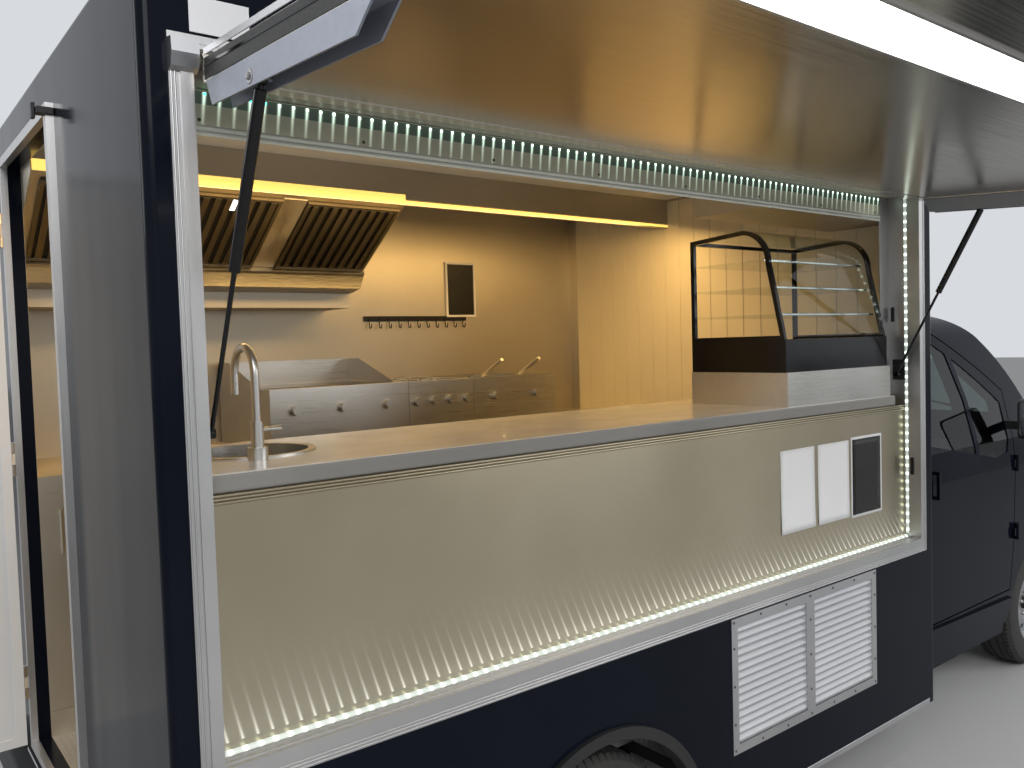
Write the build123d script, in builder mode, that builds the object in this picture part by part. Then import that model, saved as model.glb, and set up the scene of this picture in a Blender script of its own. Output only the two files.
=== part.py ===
from build123d import *
import os
from math import cos, radians, sin

os.makedirs("parts", exist_ok=True)

# Millimetres. +X is forward, +Y is the driver's side, +Z is up, and the ground is at Z = 0.
# The origin is on the ground, in the middle of what the truck covers with its flap and door open.

# Box body
box_length = 3100
box_width = 2220
box_top = 2650
skirt_bottom = 300
wall = 40
roof_thick = 45
trim_height = 60
trim_width = 55
floor_top = 550
floor_thick = 50
corner_side = 50
corner_back = 105

# Running gear
rear_overhang = 1166
axle_ahead = 1533
front_overhang = 830
front_track = 1620
rear_track = 1920
tyre_radius = 330
tyre_width = 205
rim_radius = 203
rim_width = 164
hub_bore = 32
hub_play = 0.5

# Cab
cab_width = 1900
cab_bottom = 262
cab_gap = 33
cab_skin = 45
door_skin = 65
glass_thick = 6
panel_gap = 7

# Service hatch; its start and end are measured from the rear and the front face of the box
hatch_start = 100
hatch_end = 124
hatch_bottom = 1011
hatch_top = 2436
frame_lip = 50
lip_thick = 5
frame_tube = 20
frame_depth = 130
panel_set_back = 60
panel_thick = 25
counter_top_z = 1600
counter_thick = 42
counter_depth = 600
header_bottom = 2313

# Flap, measured from its hinge: outwards along it, and in depth towards its underside
hinge_out = 17
hinge_z = 2440
flap_droop = 4
flap_gap = 10
flap_start = 12
flap_end = 1420
flap_skin = 17
flap_thick = 45
stile = 33
pin_radius = 5
pin_play = 0.3

# Gas struts of the flap
strut_inset = 30
strut_pin_along = 259
strut_pin_depth = 95
strut_foot_in = 74
strut_foot_z = 1685
cylinder_radius = 11.5
cylinder_length = 362
rod_radius = 5
eye_radius = 11
eye_width = 14
strut_pin_radius = 4

# Rear door, open at a right angle
door_width = 742
door_height = 1915
door_thick = 36
door_bottom = 565
door_pin_out = 32
door_pin_gap = 8
doorway_left = 450
doorway_width = 750
doorway_bottom = 555
doorway_top = 2487
door_frame = 28
door_knuckle = 9

# Mirror reach from the middle of the truck
mirror_reach = 1190

wheelbase = box_length + cab_gap + axle_ahead - rear_overhang
half_box = box_width / 2
half_cab = cab_width / 2
hinge_reach = half_box + hinge_out
flap_reach = hinge_reach + flap_end * cos(radians(flap_droop)) - flap_skin * sin(radians(flap_droop))
mid_y = (flap_reach - mirror_reach) / 2
door_reach = door_pin_out + door_pin_gap + door_width
truck_length = rear_overhang + wheelbase + front_overhang
half_length = (truck_length + door_reach) / 2

box_rear = door_reach - half_length
box_front = box_rear + box_length
rear_axle_x = box_rear + rear_overhang
front_axle_x = rear_axle_x + wheelbase
nose_x = front_axle_x + front_overhang
cab_back = box_front + cab_gap
hatch_rear = box_rear + hatch_start
hatch_front = box_front - hatch_end
inner_half = half_box - wall
roof_seam = box_top - trim_height
panel_y = -half_box + panel_set_back


def across(y):
    """Upright plane along the truck, y to the left of its middle; it faces right."""
    return Plane.XZ.offset(-(mid_y + y))


def section(x):
    """Upright plane across the truck at x; it faces forward."""
    return Plane(origin=(x, mid_y, 0), x_dir=(0, 1, 0), z_dir=(1, 0, 0))


def level(z):
    """Level plane at height z, with its middle on the truck's middle."""
    return Plane(origin=(0, mid_y, z))


def block(x, y, z, mode=Mode.ADD):
    """Straight-sided piece between two stations each way, y from the truck's middle."""
    with Locations((sum(x) / 2, mid_y + sum(y) / 2, sum(z) / 2)):
        Box(x[1] - x[0], y[1] - y[0], z[1] - z[0], mode=mode)


def rod_across(x, y, z, radius, mode=Mode.ADD):
    """Round bar across the truck, between two distances from its middle."""
    with Locations(Location((x, mid_y + sum(y) / 2, z), (90, 0, 0))):
        Cylinder(radius, abs(y[1] - y[0]), mode=mode)


def rod_along(x, y, z, radius, mode=Mode.ADD):
    """Round bar along the truck, between two stations."""
    with Locations(Location((sum(x) / 2, mid_y + y, z), (0, 90, 0))):
        Cylinder(radius, abs(x[1] - x[0]), mode=mode)


def save(piece, name):
    """Labels a finished piece and writes it."""
    piece.part.label = name
    export_step(piece.part, f"parts/{name}.step")


middle = across(0)


# Tyres and wheels
tread_half = tyre_width / 2 - 22
bead_half = rim_width / 2
sidewall = tyre_width / 2
shoulder = tyre_radius - 24
disc_offset = 38
disc_thick = 10
hub_step = disc_offset - disc_thick / 2 - hub_play

for name, axle_x, half_track, side in (
    ("front_left", front_axle_x, front_track / 2, 1),
    ("front_right", front_axle_x, front_track / 2, -1),
    ("rear_left", rear_axle_x, rear_track / 2, 1),
    ("rear_right", rear_axle_x, rear_track / 2, -1),
):
    # The sketch plane passes through the axle: across is outward, up is the radius.
    wheel_plane = Plane(
        origin=(axle_x, mid_y + side * half_track, tyre_radius),
        x_dir=(0, side, 0),
        z_dir=(side, 0, 0),
    )
    axle_line = Axis((axle_x, mid_y, tyre_radius), (0, side, 0))
    with BuildPart() as tyre:
        with BuildSketch(wheel_plane):
            with BuildLine():
                Line((-bead_half, rim_radius), (bead_half, rim_radius))
                ThreePointArc(
                    (bead_half, rim_radius),
                    (sidewall, (rim_radius + tyre_radius) / 2),
                    (sidewall - 8, shoulder),
                )
                Line((sidewall - 8, shoulder), (tread_half, tyre_radius - 4))
                ThreePointArc(
                    (tread_half, tyre_radius - 4), (0, tyre_radius), (-tread_half, tyre_radius - 4)
                )
                Line((-tread_half, tyre_radius - 4), (8 - sidewall, shoulder))
                ThreePointArc(
                    (8 - sidewall, shoulder),
                    (-sidewall, (rim_radius + tyre_radius) / 2),
                    (-bead_half, rim_radius),
                )
            make_face()
        revolve(axis=axle_line)
    save(tyre, f"tyre_{name}")

    with BuildPart() as rim:
        with BuildSketch(wheel_plane):
            Polygon(
                (-bead_half, rim_radius),
                (-bead_half, rim_radius - 14),
                (-45, rim_radius - 26),
                (15, rim_radius - 26),
                (disc_offset - disc_thick / 2, rim_radius - 44),
                (disc_offset - disc_thick / 2, hub_bore + hub_play),
                (disc_offset + disc_thick / 2, hub_bore + hub_play),
                (disc_offset + disc_thick / 2 + 14, 95),
                (disc_offset + disc_thick / 2, rim_radius - 40),
                (bead_half - 18, rim_radius - 16),
                (bead_half, rim_radius - 14),
                (bead_half, rim_radius),
                align=None,
            )
        revolve(axis=axle_line)
        # Ring of round vents through the disc
        disc_plane = Plane(
            origin=(axle_x, mid_y + side * (half_track + disc_offset), tyre_radius),
            x_dir=(1, 0, 0),
            z_dir=(0, side, 0),
        )
        with Locations(disc_plane):
            with PolarLocations(rim_radius - 73, 10):
                Cylinder(15, 80, mode=Mode.SUBTRACT)
    save(rim, f"rim_{name}")


# Chassis
rail_inner = 390
rail_outer = 470
rail_low = 350
rail_high = 480
rear_rail = box_rear + 110
front_rail = front_axle_x + 640
floor_low = floor_top - floor_thick
cross_stations = [
    box_rear + 150,
    rear_axle_x - 470,
    rear_axle_x + 470,
    rear_axle_x + 1050,
    box_front - 150,
]
cab_floor_low = 520
cab_floor_high = 560
mount_stations = [cab_back + 150, front_axle_x - 520]
tow_y = 330
tow_z = 430
tow_hole = 9
tow_depth = 60
beam_front = front_axle_x + 700
engine_low = 300
swivel_lean = 7.4
ball_z = 215
ball_y = front_track / 2 - 85
arm_low = 205
cradle_low = 240

boss_radius = 24
ball_seat = cradle_low + 8
seat_gap = 0.3
lean = radians(swivel_lean)


def swivel_y(z):
    """Distance of the steering axis from the truck's middle at height z."""
    return ball_y - (z - ball_z) * sin(lean) / cos(lean)


def along_leg(z):
    """Distance up the leaning leg to height z."""
    return (z - ball_z) / cos(lean)


def kingpin(side):
    """Plane square to the leaning steering axis of one side, at the ball joint."""
    return Plane(
        origin=(front_axle_x, mid_y + side * swivel_y(ball_z), ball_z),
        z_dir=(0, -side * sin(lean), cos(lean)),
    )


with BuildPart() as chassis_frame:
    for side in (-1, 1):
        inner, outer = sorted((side * rail_inner, side * rail_outer))
        block((rear_rail, front_rail), (inner, outer), (rail_low, rail_high))
        for x in mount_stations:
            block((x - 40, x + 40), (inner, outer), (rail_high, cab_floor_low))
    for x in cross_stations:
        block((x - 35, x + 35), (-inner_half + 8, inner_half - 8), (rail_high - 40, floor_low))
    for x in (rear_rail + 35, front_axle_x - 400):
        block((x - 35, x + 35), (-rail_inner, rail_inner), (rail_low + 20, rail_high - 20))
    # Front beam with the threaded towing socket
    block((front_rail, beam_front), (-560, 560), (rail_low, rail_high))
    rod_along((beam_front - tow_depth, beam_front + 1), -tow_y, tow_z, tow_hole, Mode.SUBTRACT)
    # Cradle under the rails, and lower arms that end under the swivel joints
    for side in (-1, 1):
        block(
            (front_axle_x - 260, front_axle_x + 300),
            sorted((side * rail_inner, side * rail_outer)),
            (cradle_low, rail_low),
        )
        with BuildSketch(level(arm_low)):
            Polygon(
                (front_axle_x - 230, side * rail_inner),
                (front_axle_x + 120, side * rail_inner),
                (front_axle_x + 30, side * (ball_y - 10)),
                (front_axle_x - 30, side * (ball_y - 10)),
                align=None,
            )
        extrude(amount=cradle_low - arm_low)
        seat = kingpin(side)
        with Locations(seat.offset(along_leg(arm_low - 2))):
            Cylinder(
                boss_radius,
                along_leg(ball_seat) - seat_gap - along_leg(arm_low - 2),
                align=(Align.CENTER, Align.CENTER, Align.MIN),
            )
    for x in (front_axle_x - 200, front_axle_x + 240):
        block((x - 50, x + 50), (-rail_inner, rail_inner), (cradle_low, engine_low))
save(chassis_frame, "chassis_frame")

# Rear bumper with its towing lug
bumper_depth = 70
lug_hole = 14
lug_thick = 20
lug_x = box_rear - 95
lug_y = 330
with BuildPart() as rear_bumper:
    block((box_rear - bumper_depth, box_rear - 1), (-half_box + 60, half_box - 60), (330, 430))
    edges = rear_bumper.edges().filter_by(Axis.Y).group_by(Axis.X)[0]
    fillet(edges, 22)
    for side in (-1, 1):
        block(
            (box_rear - 20, rear_rail),
            (side * 430 - 25, side * 430 + 25),
            (rail_low + 5, rail_high - 60),
        )
    block(
        (lug_x, box_rear - bumper_depth + 5),
        (-lug_y - lug_thick / 2, -lug_y + lug_thick / 2),
        (350, 410),
    )
    rod_across(lug_x, (-lug_y - lug_thick / 2, -lug_y + lug_thick / 2), 380, 30)
    rod_across(lug_x, (-lug_y - lug_thick, -lug_y + lug_thick), 380, lug_hole, Mode.SUBTRACT)
save(rear_bumper, "rear_bumper")

# Engine and gearbox as one plain block, seated on the front frame
with BuildPart() as engine_block:
    block((front_axle_x + 60, front_axle_x + 560), (-340, 360), (engine_low, 900))
    chamfer(engine_block.edges().group_by(Axis.Z)[-1], 60)
save(engine_block, "engine_block")

# Swivel carriers with the spring legs: they lean with the steering axis
leg_radius = 22
spring_radius = 60
spring_low = 700
leg_top = 868
upright_low = ball_seat + 18
for name, side in (("left", 1), ("right", -1)):
    leg = kingpin(side)
    with BuildPart() as knuckle:
        for low, high, radius in (
            (ball_seat, spring_low, leg_radius),
            (spring_low, leg_top - 18, spring_radius - 14),
            (spring_low - 6, spring_low + 4, spring_radius + 6),
            (leg_top - 24, leg_top - 8, spring_radius),
        ):
            with Locations(leg.offset(along_leg(low))):
                Cylinder(
                    radius,
                    along_leg(high) - along_leg(low),
                    align=(Align.CENTER, Align.CENTER, Align.MIN),
                )
        # Upright from the ball joint to the leg, with the stub axle through it
        y_low, y_high = sorted((side * (ball_y - 70), side * (ball_y - 3)))
        block((front_axle_x - 34, front_axle_x + 34), (y_low, y_high), (upright_low, 430))
        hub_face = front_track / 2 + hub_step
        rod_across(front_axle_x, (side * (ball_y - 25), side * hub_face), tyre_radius, 68)
        rod_across(
            front_axle_x, (side * hub_face, side * (hub_face + disc_thick + 6)), tyre_radius, hub_bore
        )
    save(knuckle, f"knuckle_{name}")

# Rear axle: a beam between two trailing arms, with coil springs and hubs
arm_out = rear_track / 2 - 220
arm_in = arm_out - 60
pivot_x = rear_axle_x + 560
pivot_z = 400
spring_x = rear_axle_x + 380
hub_face = rear_track / 2 + hub_step
with BuildPart() as rear_axle:
    block((rear_axle_x + 150, rear_axle_x + 230), (-arm_in, arm_in), (290, 340))
    for side in (-1, 1):
        with BuildSketch(across(side * (arm_in + arm_out) / 2)):
            Polygon(
                (rear_axle_x - 70, 280),
                (rear_axle_x + 400, 290),
                (pivot_x + 30, pivot_z - 30),
                (pivot_x + 30, pivot_z + 30),
                (pivot_x - 30, pivot_z + 30),
                (rear_axle_x + 340, 345),
                (rear_axle_x - 70, 380),
                align=None,
            )
        extrude(amount=(arm_out - arm_in) / 2, both=True)
        rod_across(pivot_x, (side * rail_outer, side * arm_in), pivot_z, 24)
        rod_across(rear_axle_x, (side * arm_out, side * hub_face), tyre_radius, 68)
        rod_across(
            rear_axle_x, (side * hub_face, side * (hub_face + disc_thick + 6)), tyre_radius, hub_bore
        )
        with Locations((spring_x, mid_y + side * (arm_in + arm_out) / 2, 320)):
            Cylinder(42, floor_low - 320, align=(Align.CENTER, Align.CENTER, Align.MIN))
save(rear_axle, "rear_axle")

# Fuel tank under the middle of the floor
tank_x = (rear_axle_x + 1110, box_front - 210)
with BuildPart() as fuel_tank:
    block(tank_x, (rail_outer, rail_outer + 340), (290, floor_low))
    fillet(fuel_tank.edges().filter_by(Axis.X).group_by(Axis.Z)[0], 50)
save(fuel_tank, "fuel_tank")

# Exhaust: a silencer hung on the rail and a pipe along it
pipe_radius = 24
pipe_y = -560
pipe_z = 400
silencer_x = (rear_axle_x + 620, rear_axle_x + 1000)
with BuildPart() as exhaust:
    rod_along((silencer_x[0], silencer_x[1]), pipe_y, pipe_z, 85)
    rod_along((silencer_x[1], front_axle_x - 450), pipe_y, pipe_z, pipe_radius)
    for x in (silencer_x[1] + 40, cab_back + 300):
        block((x - 12, x + 12), (pipe_y + 10, -rail_outer), (pipe_z - 6, pipe_z + 6))
save(exhaust, "exhaust")


# Cab: three outlines cross to give its form, and an inset of the same outlines its inside
cowl = (front_axle_x + 7, 1290)
bonnet_back = (front_axle_x + 87, 1235)
nose_top = (front_axle_x + 667, 930)
bumper_top = (front_axle_x + 787, 700)
roof_front = (front_axle_x - 833, 1945)


def cab_form(inset):
    """The cab's outer form drawn in by an even distance."""
    with BuildPart() as form:
        with BuildSketch(middle):
            with BuildLine():
                Polyline(
                    (front_axle_x + 430, cab_bottom), (cab_back, cab_bottom), (cab_back, 1925)
                )
                ThreePointArc((cab_back, 1925), (front_axle_x - 1183, 1963), roof_front)
                ThreePointArc(roof_front, (front_axle_x - 403, 1765), cowl)
                Line(cowl, bonnet_back)
                ThreePointArc(bonnet_back, (front_axle_x + 417, 1130), nose_top)
                ThreePointArc(nose_top, (front_axle_x + 747, 820), bumper_top)
                ThreePointArc(bumper_top, (nose_x, 480), (nose_x - 50, cab_bottom + 20))
                Line((nose_x - 50, cab_bottom + 20), (front_axle_x + 430, cab_bottom))
            make_face()
            if inset:
                offset(amount=-inset)
        extrude(amount=cab_width, both=True)
        with BuildSketch(section(cab_back)):
            with BuildLine():
                Polyline(
                    (half_cab - 128, 1800),
                    (half_cab - 12, 1290),
                    (half_cab, 1150),
                    (half_cab - 15, 480),
                    (half_cab - 50, cab_bottom),
                    (50 - half_cab, cab_bottom),
                    (15 - half_cab, 480),
                    (-half_cab, 1150),
                    (12 - half_cab, 1290),
                    (128 - half_cab, 1800),
                )
                ThreePointArc((128 - half_cab, 1800), (168 - half_cab, 1890), (270 - half_cab, 1943))
                ThreePointArc((270 - half_cab, 1943), (0, 1985), (half_cab - 270, 1943))
                ThreePointArc((half_cab - 270, 1943), (half_cab - 168, 1890), (half_cab - 128, 1800))
            make_face()
            if inset:
                offset(amount=-inset)
        extrude(amount=nose_x, both=True, mode=Mode.INTERSECT)
        with BuildSketch(level(0)):
            with BuildLine():
                Polyline(
                    (front_axle_x + 120, half_cab + 1),
                    (cab_back, half_cab + 1),
                    (cab_back, -half_cab - 1),
                    (front_axle_x + 120, -half_cab - 1),
                )
                ThreePointArc(
                    (front_axle_x + 120, -half_cab - 1),
                    (front_axle_x + 530, 75 - half_cab),
                    (front_axle_x + 730, 310 - half_cab),
                )
                ThreePointArc(
                    (front_axle_x + 730, 310 - half_cab), (nose_x, 0), (front_axle_x + 730, half_cab - 310)
                )
                ThreePointArc(
                    (front_axle_x + 730, half_cab - 310),
                    (front_axle_x + 530, half_cab - 75),
                    (front_axle_x + 120, half_cab + 1),
                )
            make_face()
            if inset:
                offset(amount=-inset)
        extrude(amount=box_top, mode=Mode.INTERSECT)
    return form.part


flange_thick = 8
flange_width = 22
flange_reach = 178
top_rail_reach = 240
cab_outer = cab_form(0)
cab_inner = cab_form(cab_skin)
door_inner = cab_form(door_skin)
door_flange = cab_form(flange_thick)
glass_outer = cab_form(4)
glass_inner = cab_form(4 + glass_thick)
bumper_inner = cab_form(28)

# Side outlines of the cab door, its window and its divider
door_rear = cab_back + 270
door_front = front_axle_x - 348
door_low = 500
door_hinge_x = door_front + panel_gap / 2
door_hinge_y = half_cab + 9


def door_outline(grow):
    """The cab door's side outline, grown by an even distance."""
    with BuildSketch() as outline:
        with BuildLine():
            Polyline(
                (front_axle_x - 1106, 1893),
                (door_rear, 1893),
                (door_rear, door_low),
                (door_front - 35, door_low),
                (door_front, 760),
                (door_front, 1535),
            )
            ThreePointArc(
                (door_front, 1535), (front_axle_x - 780, 1762), (front_axle_x - 1106, 1893)
            )
        make_face()
        if grow:
            offset(amount=grow)
    return outline.sketch


def window_outline():
    """The cab door's two panes seen from the side, with their divider between them."""
    with BuildSketch() as outline:
        with BuildLine():
            Polyline(
                (front_axle_x - 1102, 1843),
                (door_rear + 30, 1843),
                (door_rear + 30, 1330),
                (front_axle_x - 531, 1204),
                (front_axle_x - 425, 1225),
                (front_axle_x - 400, 1290),
                (front_axle_x - 400, 1480),
            )
            ThreePointArc(
                (front_axle_x - 400, 1480), (front_axle_x - 799, 1710), (front_axle_x - 1102, 1843)
            )
        make_face()
        with BuildSketch(mode=Mode.PRIVATE) as divider:
            Polygon(
                (front_axle_x - 775, 1190),
                (front_axle_x - 735, 1190),
                (front_axle_x - 752, 1515),
                (front_axle_x - 848, 1800),
                (front_axle_x - 890, 1800),
                (front_axle_x - 791, 1515),
                align=None,
            )
        add(divider.sketch, mode=Mode.SUBTRACT)
    return outline.sketch


well_radius = 395
arch_radius = 365
well_inner = front_track / 2 - 305
lip_y = half_cab - 35
bonnet_half = 700
bonnet_rear = front_axle_x + 97
bumper_high = 690
bumper_rear = front_axle_x + 372
lamp_low = 715
lamp_high = 880
lamp_in = 480
grille_half = 330
screen_half = 700


def screen_outline():
    """The windscreen's outline from above."""
    with BuildSketch() as outline:
        with BuildLine():
            Line(
                (front_axle_x - 800, 40 - screen_half), (front_axle_x - 800, screen_half - 40)
            )
            ThreePointArc(
                (front_axle_x - 800, screen_half - 40),
                (front_axle_x - 430, screen_half + 25),
                (front_axle_x - 50, screen_half + 60),
            )
            Line((front_axle_x - 50, screen_half + 60), (front_axle_x - 50, -screen_half - 60))
            ThreePointArc(
                (front_axle_x - 50, -screen_half - 60),
                (front_axle_x - 430, -screen_half - 25),
                (front_axle_x - 800, 40 - screen_half),
            )
        make_face()
    return outline.sketch


hinge_round = 8
door_knuckle_z = (800, 1160)
bonnet_bead = 5
bonnet_pin_x = bonnet_rear - bonnet_bead + 1
bonnet_pin_z = bonnet_back[1] - 6
bonnet_knuckle_y = (500, 560)

with BuildPart() as cabin_space:
    add(cab_inner)
    with BuildSketch(middle):
        Polygon(
            (cab_back, cab_floor_high),
            (front_axle_x - 180, cab_floor_high),
            (front_axle_x - 180, 900),
            (front_axle_x - 60, 1080),
            (front_axle_x - 60, box_top),
            (cab_back, box_top),
            align=None,
        )
    extrude(amount=cab_width, both=True, mode=Mode.INTERSECT)

with BuildPart() as engine_bay:
    add(cab_inner)
    with BuildSketch(middle):
        Polygon(
            (front_axle_x - 130, 0),
            (front_axle_x + 700, 0),
            (front_axle_x + 700, 1300),
            (front_axle_x + 60, 1300),
            (front_axle_x + 60, 1110),
            (front_axle_x + 10, 1060),
            (front_axle_x - 130, 880),
            align=None,
        )
    extrude(amount=cab_width, both=True, mode=Mode.INTERSECT)
    for side in (-1, 1):
        low, high = sorted((side * 480, side * cab_width))
        block((front_axle_x - 200, nose_x), (low, high), (0, 760), Mode.SUBTRACT)

door_cut = 600
tower_low = 740
lamp_rear = front_axle_x + 520
bonnet_low = lamp_high + 12
bonnet_skin = 22
bonnet_top = cab_form(bonnet_skin)


def bonnet_outline(grow):
    """The bonnet's outline from above, grown by an even distance."""
    with BuildSketch() as outline:
        Polygon(
            (bonnet_rear, -bonnet_half),
            (nose_x - 140, 150 - bonnet_half),
            (nose_x + 60, 240 - bonnet_half),
            (nose_x + 60, bonnet_half - 240),
            (nose_x - 140, bonnet_half - 150),
            (bonnet_rear, bonnet_half),
            align=None,
        )
        if grow:
            offset(amount=grow)
    return outline.sketch


with BuildPart() as bonnet_recess:
    add(cab_outer)
    add(bumper_inner, mode=Mode.SUBTRACT)
    with BuildSketch(level(bonnet_low - panel_gap)):
        add(bonnet_outline(panel_gap))
    extrude(amount=box_top, mode=Mode.INTERSECT)

with BuildPart() as rocker:
    add(cab_form(-14))
    add(cab_outer, mode=Mode.SUBTRACT)
    with BuildSketch(middle):
        Polygon(
            (cab_back + 40, 330),
            (front_axle_x - well_radius - 8, 330),
            (front_axle_x - well_radius + 25, 455),
            (cab_back + 40, 488),
            align=None,
        )
    extrude(amount=cab_width, both=True, mode=Mode.INTERSECT)

with BuildPart() as cab_shell:
    add(cab_outer)
    add(cabin_space.part, mode=Mode.SUBTRACT)
    add(engine_bay.part, mode=Mode.SUBTRACT)
    # Open underside: below the floor, and between the wheel wells
    block((cab_back - 1, front_axle_x - 420), (-870, 870), (0, cab_floor_low), Mode.SUBTRACT)
    block((cab_back - 1, nose_x), (-480, 480), (0, cab_floor_low), Mode.SUBTRACT)
    # Wheel wells and the openings of the arches
    for side in (-1, 1):
        rod_across(front_axle_x, (side * well_inner, side * lip_y), tyre_radius, well_radius, Mode.SUBTRACT)
        rod_across(front_axle_x, (side * lip_y, side * cab_width), tyre_radius, arch_radius, Mode.SUBTRACT)
    # Towers over the spring legs
    for side in (-1, 1):
        tower = kingpin(side)
        with Locations(tower.offset(along_leg(tower_low))):
            Cylinder(
                spring_radius + 26,
                along_leg(leg_top + 12) - along_leg(tower_low),
                align=(Align.CENTER, Align.CENTER, Align.MIN),
            )
        with Locations(tower.offset(along_leg(tower_low - 200))):
            Cylinder(
                spring_radius + 11,
                along_leg(leg_top - 8) + 0.3 - along_leg(tower_low - 200),
                align=(Align.CENTER, Align.CENTER, Align.MIN),
                mode=Mode.SUBTRACT,
            )
    # Door openings, reached from each side
    for side in (-1, 1):
        with BuildSketch(across(side * door_cut)):
            add(door_outline(panel_gap))
        extrude(amount=-side * cab_width, mode=Mode.SUBTRACT)
    # Rocker strips below the doors
    add(rocker.part)
    # Outer halves of the door hinges, and of the bonnet's
    for side in (-1, 1):
        for z in door_knuckle_z:
            for shift in (-1, 1):
                low = z + shift * 31 - 10.7
                with Locations((door_hinge_x, mid_y + side * door_hinge_y, low)):
                    Cylinder(hinge_round, 21.4, align=(Align.CENTER, Align.CENTER, Align.MIN))
                block(
                    (door_hinge_x, door_hinge_x + 30),
                    sorted((side * (half_cab - 24), side * door_hinge_y)),
                    (low, low + 21.4),
                )
        rod_across(
            bonnet_pin_x,
            (side * bonnet_knuckle_y[0], side * (bonnet_knuckle_y[1] + 42)),
            bonnet_pin_z,
            2 * bonnet_bead + 1,
            Mode.SUBTRACT,
        )
        outer = sorted((side * (bonnet_knuckle_y[1] + 0.3), side * (bonnet_knuckle_y[1] + 42)))
        rod_across(bonnet_pin_x, outer, bonnet_pin_z, bonnet_bead)
        block((bonnet_pin_x - 14, bonnet_pin_x), outer, (bonnet_pin_z - 4, bonnet_pin_z + 3))
    # Windscreen opening
    with BuildSketch(level(cowl[1] - 10)):
        add(screen_outline())
    extrude(amount=box_top, mode=Mode.SUBTRACT)
    # Bonnet opening: a ledge under its edge, then the engine bay
    add(bonnet_recess.part, mode=Mode.SUBTRACT)
    with BuildSketch(level(bonnet_low - panel_gap)):
        add(bonnet_outline(-30))
    extrude(amount=box_top, mode=Mode.SUBTRACT)
    # Space of the bumper
    block((bumper_rear, nose_x + 50), (-half_cab - 50, half_cab + 50), (0, bumper_high), Mode.SUBTRACT)
    # Lamp and grille openings
    for side in (-1, 1):
        low, high = sorted((side * lamp_in, side * cab_width))
        block((lamp_rear, nose_x + 50), (low, high), (lamp_low, lamp_high), Mode.SUBTRACT)
    block((lamp_rear, nose_x + 50), (-grille_half, grille_half), (lamp_low, lamp_high), Mode.SUBTRACT)
save(cab_shell, "cab_shell")

# Windscreen, set a little below the skin around it
with BuildPart() as windscreen:
    add(glass_outer)
    add(glass_inner, mode=Mode.SUBTRACT)
    with BuildSketch(level(cowl[1] - 10)):
        add(screen_outline())
    extrude(amount=box_top, mode=Mode.INTERSECT)
save(windscreen, "windscreen")

# Bonnet, with a hinge bead at each rear corner
with BuildPart() as bonnet:
    add(cab_outer)
    add(bonnet_top, mode=Mode.SUBTRACT)
    with BuildSketch(level(bonnet_low)):
        add(bonnet_outline(0))
    extrude(amount=box_top, mode=Mode.INTERSECT)
    for side in (-1, 1):
        rod_across(
            bonnet_pin_x,
            (side * bonnet_knuckle_y[0], side * bonnet_knuckle_y[1]),
            bonnet_pin_z,
            bonnet_bead,
        )
save(bonnet, "bonnet")

# Cab doors and their glass
handle_x = door_rear + 34
handle_z = (1085, 1215)
for name, side in (("left", 1), ("right", -1)):
    with BuildPart() as cab_door:
        add(cab_outer)
        add(door_inner, mode=Mode.SUBTRACT)
        with BuildSketch(across(side * door_cut)):
            add(door_outline(0))
        extrude(amount=-side * cab_width, mode=Mode.INTERSECT)
        with BuildSketch(across(side * door_cut)):
            add(window_outline())
        extrude(amount=-side * cab_width, mode=Mode.SUBTRACT)
        # The rear edge is a flange, which swings clear of the shell
        with BuildSketch(across(side * door_cut)):
            with Locations((door_rear, box_top / 2)):
                Rectangle(2 * flange_width, box_top)
        rear_strip = extrude(amount=-side * cab_width, mode=Mode.PRIVATE)
        add(rear_strip & door_flange, mode=Mode.SUBTRACT)
        block(
            (door_rear - 1, door_rear + flange_width),
            sorted((0, side * (half_cab - flange_reach))),
            (door_low, box_top),
            Mode.SUBTRACT,
        )
        # The top rail ends short of the roof's inside
        block(
            (door_rear - 1, door_front + 1),
            sorted((0, side * (half_cab - top_rail_reach))),
            (door_low, box_top),
            Mode.SUBTRACT,
        )
        for z in door_knuckle_z:
            with Locations((door_hinge_x, mid_y + side * door_hinge_y, z)):
                Cylinder(hinge_round, 40)
            block(
                (door_hinge_x - 30, door_hinge_x),
                sorted((side * (half_cab - 24), side * door_hinge_y)),
                (z - 20, z + 20),
            )
        # Upright pull handle
        grip_y = sorted((side * (half_cab - 14), side * (half_cab + 24)))
        for z in (handle_z[0], handle_z[1] - 16):
            block((handle_x, handle_x + 22), grip_y, (z, z + 16))
        block((handle_x, handle_x + 22), sorted((side * (half_cab + 12), side * (half_cab + 26))), handle_z)
    save(cab_door, f"cab_door_{name}")

    with BuildPart() as door_glass:
        add(glass_outer)
        add(glass_inner, mode=Mode.SUBTRACT)
        with BuildSketch(across(side * door_cut)):
            add(window_outline())
        extrude(amount=-side * cab_width, mode=Mode.INTERSECT)
    save(door_glass, f"door_glass_{name}")

# Door mirrors on a short arm from the door's front corner
mirror_x = door_front - 80
arm_x = (door_front - 48, door_front - 8)
mirror_low = 1300
mirror_high = 1500
mirror_in = 1010
for name, side in (("left", 1), ("right", -1)):
    with BuildPart() as mirror:
        low, high = sorted((side * mirror_in, side * mirror_reach))
        block((mirror_x - 45, mirror_x + 52), (low, high), (mirror_low, mirror_high))
        fillet(mirror.edges().filter_by(Axis.Y), 30)
        low, high = sorted((side * (half_cab - 60), side * (mirror_in + 20)))
        block(arm_x, (low, high), (mirror_low + 40, mirror_low + 82))
        # The arm's foot ends on the door's skin
        add(cab_outer, mode=Mode.SUBTRACT)
    save(mirror, f"mirror_{name}")

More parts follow.
